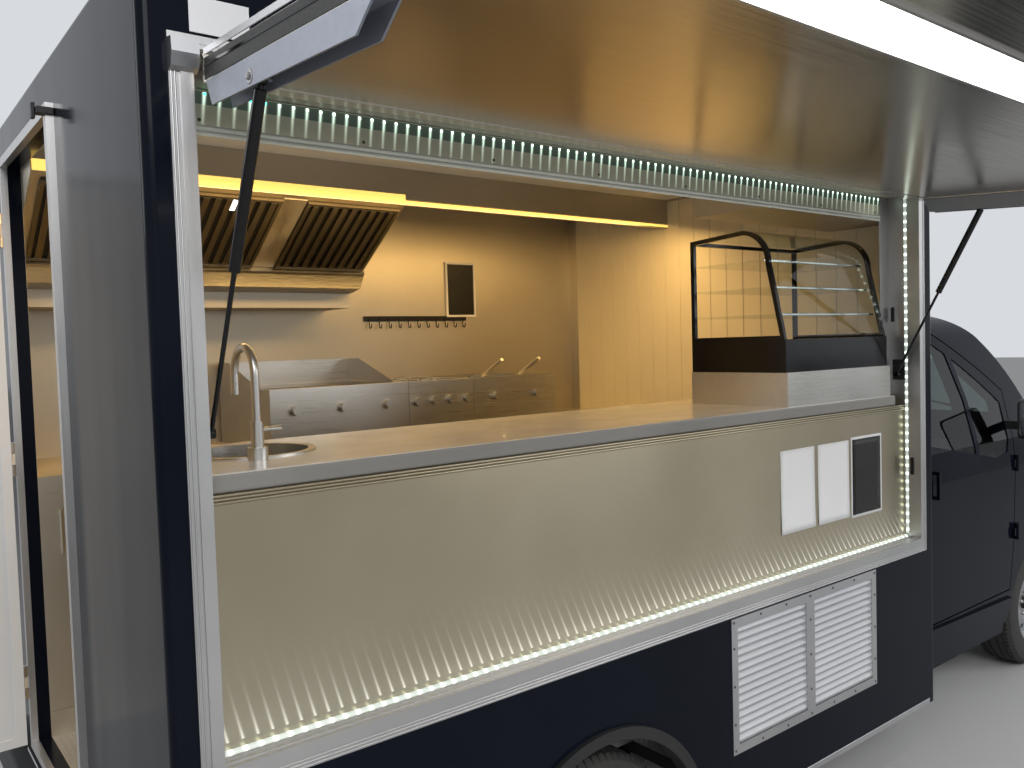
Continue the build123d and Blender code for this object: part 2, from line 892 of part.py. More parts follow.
# Bumper with its air intake and the hole to the towing socket
intake_half = 230
tow_window = 32
with BuildPart() as front_bumper:
    add(cab_outer)
    add(bumper_inner, mode=Mode.SUBTRACT)
    block((bumper_rear, nose_x + 50), (-half_cab, half_cab), (0, bumper_high), Mode.INTERSECT)
    block((bumper_rear + 100, nose_x + 50), (-intake_half, intake_half), (330, 440), Mode.SUBTRACT)
    rod_along((beam_front + 5, nose_x + 50), -tow_y, tow_z, tow_window, Mode.SUBTRACT)
    for side in (-1, 1):
        rod_across(front_axle_x, (side * well_inner, side * lip_y), tyre_radius, well_radius, Mode.SUBTRACT)
save(front_bumper, "front_bumper")

# Grille: a frame with level bars
grille_inner = cab_form(30)
with BuildPart() as front_grille:
    add(glass_outer)
    add(grille_inner, mode=Mode.SUBTRACT)
    block((lamp_rear, nose_x + 50), (-grille_half, grille_half), (lamp_low, lamp_high), Mode.INTERSECT)
    gap_count = 4
    bar = 14
    pitch = (lamp_high - lamp_low - bar) / gap_count
    for number in range(gap_count):
        low = lamp_low + bar + number * pitch
        block(
            (lamp_rear, nose_x + 50),
            (bar - grille_half, grille_half - bar),
            (low, low + pitch - bar),
            Mode.SUBTRACT,
        )
save(front_grille, "front_grille")

# Headlamps wrap round the front corners
with BuildPart() as headlamps:
    for side in (-1, 1):
        low, high = sorted((side * lamp_in, side * cab_width))
        block((lamp_rear, nose_x + 50), (low, high), (lamp_low, lamp_high))
    add(cab_outer, mode=Mode.INTERSECT)
    add(cab_inner, mode=Mode.SUBTRACT)
save(headlamps, "headlamps")

# Dashboard, from one side of the cabin to the other
dash_back = front_axle_x - 560
with BuildPart() as dashboard:
    with BuildSketch(middle):
        with BuildLine():
            Polyline(
                (front_axle_x - 180, 900),
                (dash_back + 90, 760),
                (dash_back, 900),
                (dash_back + 10, 1120),
            )
            ThreePointArc(
                (dash_back + 10, 1120), (dash_back + 60, 1185), (dash_back + 150, 1200)
            )
            Polyline(
                (dash_back + 150, 1200),
                (front_axle_x - 170, 1225),
                (front_axle_x - 60, 1225),
                (front_axle_x - 60, 1080),
                (front_axle_x - 180, 900),
            )
        make_face()
    extrude(amount=half_cab - 90, both=True)
    add(cabin_space.part, mode=Mode.INTERSECT)
save(dashboard, "dashboard")

# Steering wheel on its column
wheel_y = 400
wheel_tilt = 28
steer_radius = 190
steer_centre = Plane(
    origin=(front_axle_x - 660, mid_y + wheel_y, 1120),
    z_dir=(cos(radians(wheel_tilt)), 0, -sin(radians(wheel_tilt))),
)
with BuildPart() as steering_wheel:
    with Locations(steer_centre):
        Torus(steer_radius, 14)
        Cylinder(38, 26)
        Box(2 * steer_radius, 30, 12)
    with Locations(steer_centre.offset(10)):
        Cylinder(20, 165, align=(Align.CENTER, Align.CENTER, Align.MIN))
    add(dashboard.part, mode=Mode.SUBTRACT)
save(steering_wheel, "steering_wheel")

# Seats
seat_x = cab_back + 310
seat_half = 250
with BuildPart() as cab_seats:
    for y in (wheel_y, -wheel_y):
        with BuildSketch(across(y)):
            with BuildLine():
                Polyline(
                    (seat_x - 20, cab_floor_high),
                    (seat_x + 370, cab_floor_high),
                    (seat_x + 370, 800),
                    (seat_x + 450, 860),
                )
                ThreePointArc((seat_x + 450, 860), (seat_x + 432, 935), (seat_x + 360, 950))
                Line((seat_x + 360, 950), (seat_x + 110, 925))
                Polyline((seat_x + 110, 925), (seat_x - 20, 1500), (seat_x - 45, 1700))
                ThreePointArc(
                    (seat_x - 45, 1700), (seat_x - 95, 1730), (seat_x - 130, 1690)
                )
                Polyline((seat_x - 130, 1690), (seat_x - 110, 1480), (seat_x - 20, 900), (seat_x - 20, cab_floor_high))
            make_face()
        extrude(amount=seat_half, both=True)
save(cab_seats, "cab_seats")


# Box floor with a box over each rear wheel
wheel_box_half = 430
wheel_box_in = rear_track / 2 - 160
wheel_box_top = 770
plate = 20
with BuildPart() as box_floor:
    block((box_rear + wall, box_front - wall), (-inner_half, inner_half), (floor_low, floor_top))
    for side in (-1, 1):
        low, high = sorted((side * wheel_box_in, side * inner_half))
        block(
            (rear_axle_x - wheel_box_half, rear_axle_x + wheel_box_half),
            (low, high),
            (floor_low, wheel_box_top),
        )
        low, high = sorted((side * (wheel_box_in + plate), side * inner_half))
        block(
            (rear_axle_x - wheel_box_half + plate, rear_axle_x + wheel_box_half - plate),
            (low, high),
            (0, wheel_box_top - plate),
            Mode.SUBTRACT,
        )
save(box_floor, "box_floor")

# Rounded posts at the four corners of the box, and the profile round its roof
post_round = 22
roof_low = roof_seam + 10
with BuildPart() as roof_trim:
    block((box_rear, box_front), (-half_box, half_box), (roof_seam, box_top))
    fillet(roof_trim.edges().filter_by(Axis.Z), post_round)
    fillet(roof_trim.edges().group_by(Axis.Z)[-1], 18)
    block(
        (box_rear + trim_width, box_front - trim_width),
        (trim_width - half_box, half_box - trim_width),
        (roof_low, box_top),
        Mode.SUBTRACT,
    )
    block(
        (box_rear + wall, box_front - wall), (-inner_half, inner_half), (roof_seam, roof_low), Mode.SUBTRACT
    )

with BuildPart() as box_frame:
    for x, end in ((box_rear, 1), (box_front, -1)):
        for side in (-1, 1):
            block(
                sorted((x, x + end * corner_side)),
                sorted((side * (half_box - corner_back), side * half_box)),
                (skirt_bottom, roof_seam),
            )
    uprights = box_frame.edges().filter_by(Axis.Z)
    fillet(
        [
            edge
            for edge in uprights
            if min(abs(edge.center().X - x) for x in (box_rear, box_front)) < 1
            and abs(abs(edge.center().Y - mid_y) - half_box) < 1
        ],
        post_round,
    )
    block(
        (box_rear + wall, box_front - wall), (-inner_half, inner_half), (0, box_top), Mode.SUBTRACT
    )
    add(roof_trim.part)
save(box_frame, "box_frame")

# Side walls, with the rear wheel arches
wall_x = (box_rear + corner_side, box_front - corner_side)
arch_cut = 400
vent_x = (box_front - 1337, box_front - 499)
vent_z = (525, 922)
for name, side in (("left", 1), ("right", -1)):
    with BuildPart() as side_wall:
        y = sorted((side * inner_half, side * half_box))
        block(wall_x, y, (skirt_bottom, roof_seam))
        rod_across(rear_axle_x, (side * 1000, side * 1200), tyre_radius, arch_cut, Mode.SUBTRACT)
        if side < 0:
            block(
                (hatch_rear - frame_tube, hatch_front + frame_tube),
                y,
                (hatch_bottom - frame_tube, hatch_top + frame_tube),
                Mode.SUBTRACT,
            )
            block(vent_x, y, vent_z, Mode.SUBTRACT)
    save(side_wall, f"wall_{name}")

# End walls; the rear one has the doorway
end_half = half_box - corner_back
rear_skirt = 440
board_count = 20
doorway_y = (doorway_left - doorway_width, doorway_left)
with BuildPart() as end_walls:
    block((box_rear, box_rear + wall), (-end_half, end_half), (rear_skirt, roof_seam))
    block((box_rear, box_rear + wall), doorway_y, (doorway_bottom, doorway_top), Mode.SUBTRACT)
    block((box_front - wall, box_front), (-end_half, end_half), (floor_low, roof_seam))
    # Boards of the front wall's lining
    for number in range(1, board_count):
        y = -end_half + number * 2 * end_half / board_count
        block((box_front - wall, box_front - wall + 3), (y - 3, y + 3), (floor_top, roof_seam), Mode.SUBTRACT)
save(end_walls, "end_walls")

# Arch trims stand proud of the side walls
trim_proud = 15
with BuildPart() as arch_trims:
    for side in (-1, 1):
        rod_across(rear_axle_x, (side * (half_box - wall), side * (half_box + trim_proud)), tyre_radius, arch_cut)
        rod_across(rear_axle_x, (side * half_box, side * (half_box + trim_proud)), tyre_radius, arch_cut + 28)
        rod_across(
            rear_axle_x, (side * (half_box - wall), side * (half_box + trim_proud)), tyre_radius, arch_cut - 6, Mode.SUBTRACT
        )
    block((box_rear, box_front), (-box_width, box_width), (-200, skirt_bottom), Mode.SUBTRACT)
save(arch_trims, "arch_trims")

# Roof panel, with the cowl over the hood's outlet
vent_centre = (box_rear + 733, 690)
with BuildPart() as box_roof:
    with Locations((vent_centre[0], mid_y + vent_centre[1], roof_low + roof_thick)):
        Box(420, 420, 55, align=(Align.CENTER, Align.CENTER, Align.MIN))
    chamfer(box_roof.edges().group_by(Axis.Z)[-1], 24)
    block(
        (box_rear + trim_width, box_front - trim_width),
        (trim_width - half_box, half_box - trim_width),
        (roof_low, roof_low + roof_thick),
    )
save(box_roof, "box_roof")

# Hatch frame: a lip on the wall, a deep ring, jambs and header at the back, and the hinge rail
ring_back = frame_depth - lip_thick - half_box
jamb_y = (ring_back - 5, ring_back)
header_z = (header_bottom, hatch_top)
with BuildPart() as hatch_frame:
    lip_x = (hatch_rear - frame_lip + 3, hatch_front + frame_lip)
    lip_z = (hatch_bottom - 58, hatch_top + 39)
    block(lip_x, (-half_box - lip_thick, -half_box), lip_z)
    block(
        (hatch_rear - frame_tube, hatch_front + frame_tube),
        (-half_box - lip_thick, ring_back),
        (hatch_bottom - frame_tube, hatch_top + frame_tube),
    )
    block(
        (hatch_rear, hatch_front),
        (-half_box - lip_thick, ring_back),
        (hatch_bottom, hatch_top),
        Mode.SUBTRACT,
    )
    # Second step of the lip at the bottom and sides, and ribs along the sill
    inner_lip = (
        (hatch_rear - 26, hatch_front + 26),
        (-half_box - lip_thick - 4, -half_box - lip_thick + 1),
        (hatch_bottom - 30, hatch_top - 30),
    )
    block(*inner_lip)
    block((hatch_rear, hatch_front), inner_lip[1], (hatch_bottom, hatch_top), Mode.SUBTRACT)
    for y in (-half_box + 6, -half_box + 28):
        block((hatch_rear, hatch_front), (y, y + 6), (hatch_bottom - 1, hatch_bottom + 3))
    block((hatch_rear, hatch_rear + 16), jamb_y, (counter_top_z, hatch_top))
    block((hatch_front - 70, hatch_front), jamb_y, (counter_top_z, hatch_top))
    block((hatch_rear, hatch_front), jamb_y, header_z)
    # Rail with the upper half of the hinge socket
    with BuildSketch(section(lip_x[0])):
        Polygon(
            (-hinge_reach - 11, hinge_z + 2),
            (-hinge_reach - 11, hinge_z + 9),
            (-hinge_reach - 5, hinge_z + 15),
            (-half_box - lip_thick, hinge_z + 20),
            (-half_box - lip_thick, hinge_z + 2),
            align=None,
        )
    extrude(amount=lip_x[1] - lip_x[0])
    rod_along(lip_x, -hinge_reach, hinge_z, pin_radius + pin_play, Mode.SUBTRACT)
save(hatch_frame, "hatch_frame")

# Stainless panel below the counter, with its ribbed trim
rib_low = 1535
rib_count = 3
with BuildPart() as service_panel:
    block((hatch_rear, hatch_front), (panel_y, panel_y + panel_thick), (hatch_bottom, counter_top_z - counter_thick))
    rib_pitch = (counter_top_z - counter_thick - rib_low) / rib_count
    for number in range(rib_count):
        rod_along((hatch_rear, hatch_front), panel_y, rib_low + (number + 0.5) * rib_pitch, rib_pitch / 2)
save(service_panel, "service_panel")

# Counter top, cut for the sink
counter_x = (hatch_rear + 16, hatch_front - 70)
sink_centre = (box_rear + 340, -700)
bowl_radius = 150
with BuildPart() as counter_top:
    block(counter_x, (panel_y, panel_y + counter_depth), (counter_top_z - counter_thick, counter_top_z))
    fillet(counter_top.edges().filter_by(Axis.X).group_by(Axis.Y)[0], 8)
    with Locations((sink_centre[0], mid_y + sink_centre[1], counter_top_z)):
        Cylinder(bowl_radius, 200, mode=Mode.SUBTRACT)
save(counter_top, "counter_top")

def cabinet_doors(x, face_y, outward, high):
    """Grooves a cabinet's front into doors and puts a bar handle on each."""
    door_count = 5
    groove = 4
    pitch = (x[1] - x[0]) / door_count
    inward = face_y - outward * groove
    for number in range(door_count):
        if number:
            line = x[0] + number * pitch
            block(
                (line - groove / 2, line + groove / 2),
                sorted((face_y, inward)),
                (floor_top + 90, high),
                Mode.SUBTRACT,
            )
        grip = x[0] + number * pitch + 60
        with Locations((grip, mid_y + face_y + outward * 22, high - 130)):
            Cylinder(6, 150)
        for z in (high - 190, high - 70):
            block((grip - 5, grip + 5), sorted((face_y, face_y + outward * 22)), (z - 5, z + 5))
    for z in (floor_top + 90, high):
        block(
            (x[0] + groove, x[1] - groove),
            sorted((face_y, inward)),
            (z - groove / 2, z + groove / 2),
            Mode.SUBTRACT,
        )


# Cabinet that carries the counter, open underneath
cabinet_x = (hatch_rear + 16, hatch_front - 70)
cabinet_y = (ring_back, panel_y + counter_depth - 40)
with BuildPart() as front_cabinet:
    block(cabinet_x, cabinet_y, (floor_top, counter_top_z - counter_thick))
    block(
        (cabinet_x[0] + plate, cabinet_x[1] - plate),
        (cabinet_y[0] + plate, cabinet_y[1] - plate),
        (floor_top, counter_top_z - counter_thick),
        Mode.SUBTRACT,
    )
    block(
        (rear_axle_x - wheel_box_half, rear_axle_x + wheel_box_half),
        (-inner_half, -wheel_box_in),
        (floor_top, wheel_box_top),
        Mode.SUBTRACT,
    )
    cabinet_doors(cabinet_x, cabinet_y[1], 1, counter_top_z - counter_thick - 60)
save(front_cabinet, "front_cabinet")

# Sink bowl with its tap
bowl_depth = 160
tap_y = -880
with BuildPart() as sink_tap:
    with Locations((sink_centre[0], mid_y + sink_centre[1], counter_top_z)):
        Cylinder(bowl_radius + 14, 4, align=(Align.CENTER, Align.CENTER, Align.MIN))
        Cylinder(bowl_radius, bowl_depth, align=(Align.CENTER, Align.CENTER, Align.MAX))
        Cylinder(bowl_radius - 5, 2 * (bowl_depth - 5), mode=Mode.SUBTRACT)
    with Locations((box_rear + 290, mid_y + tap_y, counter_top_z)):
        Cylinder(24, 30, align=(Align.CENTER, Align.CENTER, Align.MIN))
        Cylinder(15, 90, align=(Align.CENTER, Align.CENTER, Align.MIN))
    # Gooseneck: up, over towards the bowl, and down
    neck = Plane(origin=(box_rear + 290, mid_y + tap_y, counter_top_z), x_dir=(0, 1, 0), z_dir=(1, 0, 0))
    with BuildLine(neck) as path:
        Line((0, 60), (0, 200))
        ThreePointArc((0, 200), (65, 265), (130, 200))
        Line((130, 200), (130, 150))
    with BuildSketch(Plane(origin=(box_rear + 290, mid_y + tap_y, counter_top_z + 60))):
        Circle(10)
    sweep(path=path.line)
    rod_along((box_rear + 290, box_rear + 350), tap_y, counter_top_z + 70, 6)
save(sink_tap, "sink_tap")


# Service flap, drawn from its hinge at the droop it rests at
flap_x = (hatch_rear + flap_gap, hatch_front - flap_gap)
droop = radians(flap_droop)
flap_frame = Plane(
    origin=(flap_x[0], mid_y - hinge_reach, hinge_z),
    x_dir=(0, -cos(droop), -sin(droop)),
    z_dir=(1, 0, 0),
)
flap_under = flap_skin + flap_thick
flap_panel = flap_under - 2
flap_length = flap_x[1] - flap_x[0]


def flap_band(out, deep, x, mode=Mode.ADD):
    """Straight-sided piece of the flap, between two distances out, two depths and two stations."""
    with Locations(
        flap_frame.offset((x[0] + x[1]) / 2 - flap_x[0])
        * Location((sum(out) / 2, sum(deep) / 2, 0))
    ):
        Box(out[1] - out[0], deep[1] - deep[0], x[1] - x[0], mode=mode)


lamp_out = (980, 1100)
lamp_deep = 22
with BuildPart() as service_flap:
    flap_band((flap_start + 3, flap_end), (flap_skin, flap_under), flap_x)
    nose_edges = service_flap.edges().filter_by(Axis.X).group_by(Axis.Y)[0]
    fillet(nose_edges, 10)
    with BuildSketch(flap_frame):
        Polygon((0, -1), (8, 1), (24, flap_skin), (15, flap_skin), (15, 24), (3, 5), align=None)
    extrude(amount=flap_length)
    with Locations(flap_frame.offset(flap_length / 2)):
        Cylinder(pin_radius, flap_length)
    flap_band(
        (2 * stile, flap_end - stile),
        (flap_panel, flap_under),
        (flap_x[0] + 2 * stile, flap_x[1] - 2 * stile),
        Mode.SUBTRACT,
    )
    flap_band(lamp_out, (flap_under - lamp_deep, flap_under), (flap_x[0] + 60, flap_x[1] - 60), Mode.SUBTRACT)
save(service_flap, "service_flap")

with BuildPart() as flap_lamp:
    flap_band(lamp_out, (flap_under - lamp_deep, flap_under + 3), (flap_x[0] + 60, flap_x[1] - 60))
save(flap_lamp, "flap_lamp")

# Channels under the flap's ends; each holds the pin of its gas strut
strut_x = (hatch_rear + strut_inset, hatch_front - strut_inset)
channel_half = 18
channel_plate = 4
channel_deep = 50
channel_out = (40, 700)
with BuildPart() as flap_channels:
    for x in strut_x:
        with BuildSketch(flap_frame.offset(x - channel_half - channel_plate - flap_x[0])):
            Polygon(
                (channel_out[0], flap_under),
                (channel_out[0] + 30, flap_under + channel_deep),
                (channel_out[1] - 60, flap_under + channel_deep),
                (channel_out[1], flap_under),
                align=None,
            )
        extrude(amount=2 * (channel_half + channel_plate))
        flap_band(
            (0, 900),
            (flap_under + channel_plate, flap_under + 2 * channel_deep),
            (x - channel_half, x + channel_half),
            Mode.SUBTRACT,
        )
        with Locations(
            flap_frame.offset(x - flap_x[0]) * Location((strut_pin_along, strut_pin_depth, 0))
        ):
            Cylinder(strut_pin_radius, 2 * channel_half + 2)
save(flap_channels, "flap_channels")

# Gas struts: cylinder on the flap's pin, rod down to the foot on the post
pin_y = -hinge_reach - strut_pin_along * cos(droop) + strut_pin_depth * sin(droop)
pin_z = hinge_z - strut_pin_along * sin(droop) - strut_pin_depth * cos(droop)
foot_y = -half_box + strut_foot_in
foot_z = strut_foot_z
for name, x in (("rear", strut_x[0]), ("front", strut_x[1])):
    strut_line = Plane(
        origin=(x, mid_y + pin_y, pin_z),
        x_dir=(1, 0, 0),
        z_dir=(0, foot_y - pin_y, foot_z - pin_z),
    )
    strut_span = ((foot_y - pin_y) ** 2 + (foot_z - pin_z) ** 2) ** 0.5
    with BuildPart() as strut_cylinder:
        with Locations(strut_line.offset(eye_radius + 8)):
            Cylinder(
                cylinder_radius,
                cylinder_length - eye_radius - 8,
                align=(Align.CENTER, Align.CENTER, Align.MIN),
            )
        with Locations(strut_line):
            Cylinder(rod_radius, eye_radius + 10, align=(Align.CENTER, Align.CENTER, Align.MIN))
        with Locations(strut_line * Location((0, 0, 0), (0, 90, 0))):
            Cylinder(eye_radius, eye_width)
            Cylinder(strut_pin_radius + pin_play, eye_width * 2, mode=Mode.SUBTRACT)
        with Locations(strut_line.offset(cylinder_length)):
            Cylinder(
                rod_radius + pin_play,
                cylinder_length - eye_radius - 14,
                align=(Align.CENTER, Align.CENTER, Align.MAX),
                mode=Mode.SUBTRACT,
            )
    save(strut_cylinder, f"strut_cylinder_{name}")

    with BuildPart() as strut_rod:
        with Locations(strut_line.offset(cylinder_length - 60)):
            Cylinder(
                rod_radius,
                strut_span - cylinder_length + 60,
                align=(Align.CENTER, Align.CENTER, Align.MIN),
            )
        with Locations(strut_line.offset(strut_span) * Location((0, 0, 0), (0, 90, 0))):
            Cylinder(eye_radius, eye_width)
    save(strut_rod, f"strut_rod_{name}")

# Brackets on the posts; each foot stud stops just short of its strut
stud_gap = 0.6
with BuildPart() as strut_brackets:
    for x, wall_x_face, end in (
        (strut_x[0], hatch_rear, 1),
        (strut_x[1], hatch_front, -1),
    ):
        block(
            sorted((wall_x_face, wall_x_face + end * 5)),
            (foot_y - 22, foot_y + 30),
            (foot_z - 25, foot_z + 59),
        )
        rod_along((wall_x_face, x - end * (eye_width / 2 + stud_gap)), foot_y, foot_z, 8)
save(strut_brackets, "strut_brackets")


# Rear door frame and the door, open at a right angle
door_pin_x = box_rear - door_pin_out
door_pin_y = doorway_left - 4 + door_pin_gap
frame_proud = 20
leaf_set = door_pin_out - frame_proud
knuckle_z = (760, 1520, 2280)
with BuildPart() as door_surround:
    block(
        (box_rear - frame_proud, box_rear),
        (doorway_y[0] - door_frame, doorway_y[1] + door_frame),
        (doorway_bottom - door_frame, doorway_top + door_frame),
    )
    block((box_rear - frame_proud, box_rear), doorway_y, (doorway_bottom, doorway_top), Mode.SUBTRACT)
    for z in knuckle_z:
        for shift in (-1, 1):
            with Locations((door_pin_x, mid_y + door_pin_y, z + shift * 38)):
                Cylinder(door_knuckle, 36)
            block(
                (door_pin_x, box_rear - frame_proud + 2),
                (door_pin_y - 2, door_pin_y + 14),
                (z + shift * 38 - 18, z + shift * 38 + 18),
            )
        with Locations((door_pin_x, mid_y + door_pin_y, z)):
            Cylinder(4, 100)
save(door_surround, "door_surround")

leaf_x = (door_pin_x - door_pin_gap - door_width, door_pin_x - door_pin_gap)
leaf_y = (door_pin_y - leaf_set - door_thick, door_pin_y - leaf_set)
leaf_z = (door_bottom, door_bottom + door_height)
latch_x = leaf_x[0] + 62
latch_z = 1480
rim_step = 4
with BuildPart() as rear_door:
    block(leaf_x, leaf_y, leaf_z)
    for z in knuckle_z:
        with Locations((door_pin_x, mid_y + door_pin_y, z)):
            Cylinder(door_knuckle, 36)
        block(
            (door_pin_x - 18, door_pin_x - 5), (door_pin_y - leaf_set - 2, door_pin_y - 2), (z - 18, z + 18)
        )
        with Locations((door_pin_x, mid_y + door_pin_y, z)):
            Cylinder(4 + pin_play, 60, mode=Mode.SUBTRACT)
    # Raised rim round the inner face
    block(
        (leaf_x[0] + 30, leaf_x[1] - 30),
        (leaf_y[0], leaf_y[0] + rim_step),
        (leaf_z[0] + 30, leaf_z[1] - 30),
        Mode.SUBTRACT,
    )
    # Lever on each side, on its plate
    for face, out in ((leaf_y[0] + rim_step, -1), (leaf_y[1], 1)):
        block((latch_x - 20, latch_x + 20), sorted((face, face + out * 6)), (latch_z - 100, latch_z + 60))
        rod_across(latch_x, (face, face + out * 44), latch_z, 9)
        rod_along((latch_x - 9, latch_x + 115), face + out * 38, latch_z, 8)
save(rear_door, "rear_door")

# Rear lamps on the corners of the rear wall
with BuildPart() as rear_lamps:
    for side in (-1, 1):
        block(
            (box_rear - 22, box_rear),
            sorted((side * (end_half - 10), side * (end_half - 90))),
            (520, 760),
        )
    fillet(rear_lamps.edges().group_by(Axis.X)[0], 8)
save(rear_lamps, "rear_lamps")

# Vent grille in the right wall: a flanged frame, a middle bar and sloping blades
blade_count = 15
with BuildPart() as vent_grille:
    block(
        (vent_x[0] - 25, vent_x[1] + 25),
        (-half_box - 4, -half_box),
        (vent_z[0] - 25, vent_z[1] + 25),
    )
    block(vent_x, (-half_box - 4, -half_box + 26), vent_z)
    block(
        (vent_x[0] + 6, vent_x[1] - 6),
        (-half_box - 4, -half_box + 26),
        (vent_z[0] + 6, vent_z[1] - 6),
        Mode.SUBTRACT,
    )
    middle_x = sum(vent_x) / 2
    block((middle_x - 25, middle_x + 25), (-half_box - 4, -half_box + 24), vent_z)
    blade_pitch = (vent_z[1] - vent_z[0] - 12) / blade_count
    for number in range(blade_count):
        z = vent_z[0] + 6 + (number + 0.5) * blade_pitch
        with BuildSketch(section(vent_x[0] + 3)):
            Polygon(
                (-half_box - 2, z - 8),
                (-half_box + 20, z + 8),
                (-half_box + 20, z + 11),
                (-half_box - 2, z - 5),
                align=None,
            )
        extrude(amount=vent_x[1] - vent_x[0] - 6)
save(vent_grille, "vent_grille")

# Extractor hood over the cooking range, and the valance on to the front wall
hood_x = (box_rear + wall, box_rear + 1426)
hood_low = 2047
hood_front = (280, 2450)
hood_rear = (800, 2121)
slot_pitch = 62
slot_width = 18
slot_length = 490
ceiling = roof_low
with BuildPart() as extractor_hood:
    with BuildSketch(section(hood_x[0])):
        Polygon(
            (hood_front[0], ceiling),
            hood_front,
            hood_rear,
            (hood_rear[0], hood_low),
            (inner_half, hood_low),
            (inner_half, ceiling),
            align=None,
        )
    extrude(amount=hood_x[1] - hood_x[0])
    with BuildSketch(section(hood_x[0] + plate)):
        Polygon(
            (hood_front[0] + plate, ceiling),
            (hood_front[0] + plate, hood_front[1] + 11),
            (hood_rear[0] + plate, hood_rear[1] + 11),
            (hood_rear[0] + plate, hood_low + plate),
            (inner_half - plate, hood_low + plate),
            (inner_half - plate, ceiling),
            align=None,
        )
    extrude(amount=hood_x[1] - hood_x[0] - 2 * plate, mode=Mode.SUBTRACT)
    block((hood_x[1] - 1, box_front - wall), (hood_front[0], hood_front[0] + plate), (hood_front[1], ceiling))
    # Baffle slots down the slope, in panels
    slope = Plane(
        origin=(sum(hood_x) / 2, mid_y + (hood_front[0] + hood_rear[0]) / 2, (hood_front[1] + hood_rear[1]) / 2),
        x_dir=(1, 0, 0),
        z_dir=(0, hood_rear[1] - hood_front[1], hood_front[0] - hood_rear[0]),
    )
    # Panels of slots: first slot behind the hood's front end, and how many
    for first, slots in ((48, 8), (697, 11)):
        for number in range(slots):
            shift = hood_x[1] - first - number * slot_pitch - sum(hood_x) / 2
            with Locations(slope * Location((shift, 0, 0))):
                Box(slot_width, slot_length, 3 * plate, mode=Mode.SUBTRACT)
save(extractor_hood, "extractor_hood")

# Back counter with the appliances on it
back_y = (450, inner_half)
back_top = 1450
back_x = (box_rear + wall, box_front - wall)
with BuildPart() as back_counter:
    block(back_x, back_y, (floor_top, back_top))
    block(
        (back_x[0] + plate, back_x[1] - plate),
        (back_y[0] + plate, back_y[1] - plate),
        (floor_top, back_top - 40),
        Mode.SUBTRACT,
    )
    block(
        (rear_axle_x - wheel_box_half, rear_axle_x + wheel_box_half),
        (wheel_box_in, inner_half),
        (floor_top, wheel_box_top),
        Mode.SUBTRACT,
    )
    cabinet_doors(back_x, back_y[0], -1, back_top - 60)
save(back_counter, "back_counter")

# Griddle, hob and fryer stand side by side: their ends along the box
range_y = (480, inner_half - 20)
range_top = 1700
griddle = (882, 1533)
hob = (1533, 1894)
fryer = (1894, 2400)
rim = 18
with BuildPart() as cooking_range:
    for start, end in (griddle, hob, fryer):
        x = (box_rear + start, box_rear + end)
        block((x[0] + 1, x[1] - 1), range_y, (back_top, range_top))
        block(
            (x[0] + rim, x[1] - rim),
            (range_y[0] + 60, range_y[1] - 30),
            (range_top - 22, range_top),
            Mode.SUBTRACT,
        )
        block(x, (range_y[0] + 30, range_y[1]), (back_top, back_top + 40))
    # Splash guard round the griddle
    x = (box_rear + griddle[0] + 1, box_rear + griddle[1] - 1)
    block(x, (range_y[1] - 12, range_y[1]), (range_top, range_top + 110))
    for low in (x[0], x[1] - 4):
        with BuildSketch(section(low)):
            Polygon(
                (range_y[0] + 120, range_top),
                (range_y[1], range_top),
                (range_y[1], range_top + 110),
                (range_y[1] - 120, range_top + 110),
                align=None,
            )
        extrude(amount=4)
    # Burners with their pan supports
    for along in (0.28, 0.72):
        x_mid = box_rear + hob[0] + along * (hob[1] - hob[0])
        for y in (range_y[0] + 190, range_y[1] - 150):
            with Locations((x_mid, mid_y + y, range_top - 22)):
                Cylinder(44, 16, align=(Align.CENTER, Align.CENTER, Align.MIN))
                Cylinder(26, 26, align=(Align.CENTER, Align.CENTER, Align.MIN))
            block((x_mid - 75, x_mid + 75), (y - 5, y + 5), (range_top - 6, range_top + 4))
            block((x_mid - 5, x_mid + 5), (y - 110, y + 110), (range_top - 6, range_top + 4))
            for x in (x_mid - 75, x_mid + 69):
                block((x, x + 6), (y - 5, y + 5), (range_top - 22, range_top))
    # Two fryer wells with the basket handles standing over the front edge
    for along in (0.27, 0.73):
        x_mid = box_rear + fryer[0] + along * (fryer[1] - fryer[0])
        block((x_mid - 95, x_mid + 95), (range_y[0] + 120, range_y[1] - 90), (range_top - 150, range_top), Mode.SUBTRACT)
        block((x_mid - 80, x_mid + 80), (range_y[0] + 110, range_y[0] + 128), (range_top - 40, range_top + 6))
        rod = Plane(origin=(x_mid, mid_y + range_y[0] + 124, range_top), z_dir=(0, -0.9, 0.44))
        with Locations(rod):
            Cylinder(8, 190, align=(Align.CENTER, Align.CENTER, Align.MIN))
    # Knobs along the front
    for start, end, knob_count in ((*griddle, 3), (*hob, 4), (*fryer, 2)):
        for number in range(knob_count):
            x = box_rear + start + (number + 0.5) * (end - start) / knob_count
            with Locations(Location((x, mid_y + range_y[0] - 12, range_top - 90), (90, 0, 0))):
                Cylinder(20, 26)
save(cooking_range, "cooking_range")

# Display case: base, lower box and end frames, with curved glass between them
case_length = 710
case_x = (hatch_front - 90 - case_length, hatch_front - 90)
case_top = 2248
case_back = -605


def case_outline(inset):
    """The case's end outline above its lower box, drawn in by an even distance."""
    with BuildSketch() as outline:
        with BuildLine():
            Polyline(
                (case_back, 2233), (case_back, 1840), (-1026, 1840), (-1023, 1858), (-966, 2122)
            )
            ThreePointArc((-966, 2122), (-928, 2212), (-847, case_top))
            Line((-847, case_top), (case_back, 2233))
        make_face()
        if inset:
            offset(amount=-inset)
    return outline.sketch


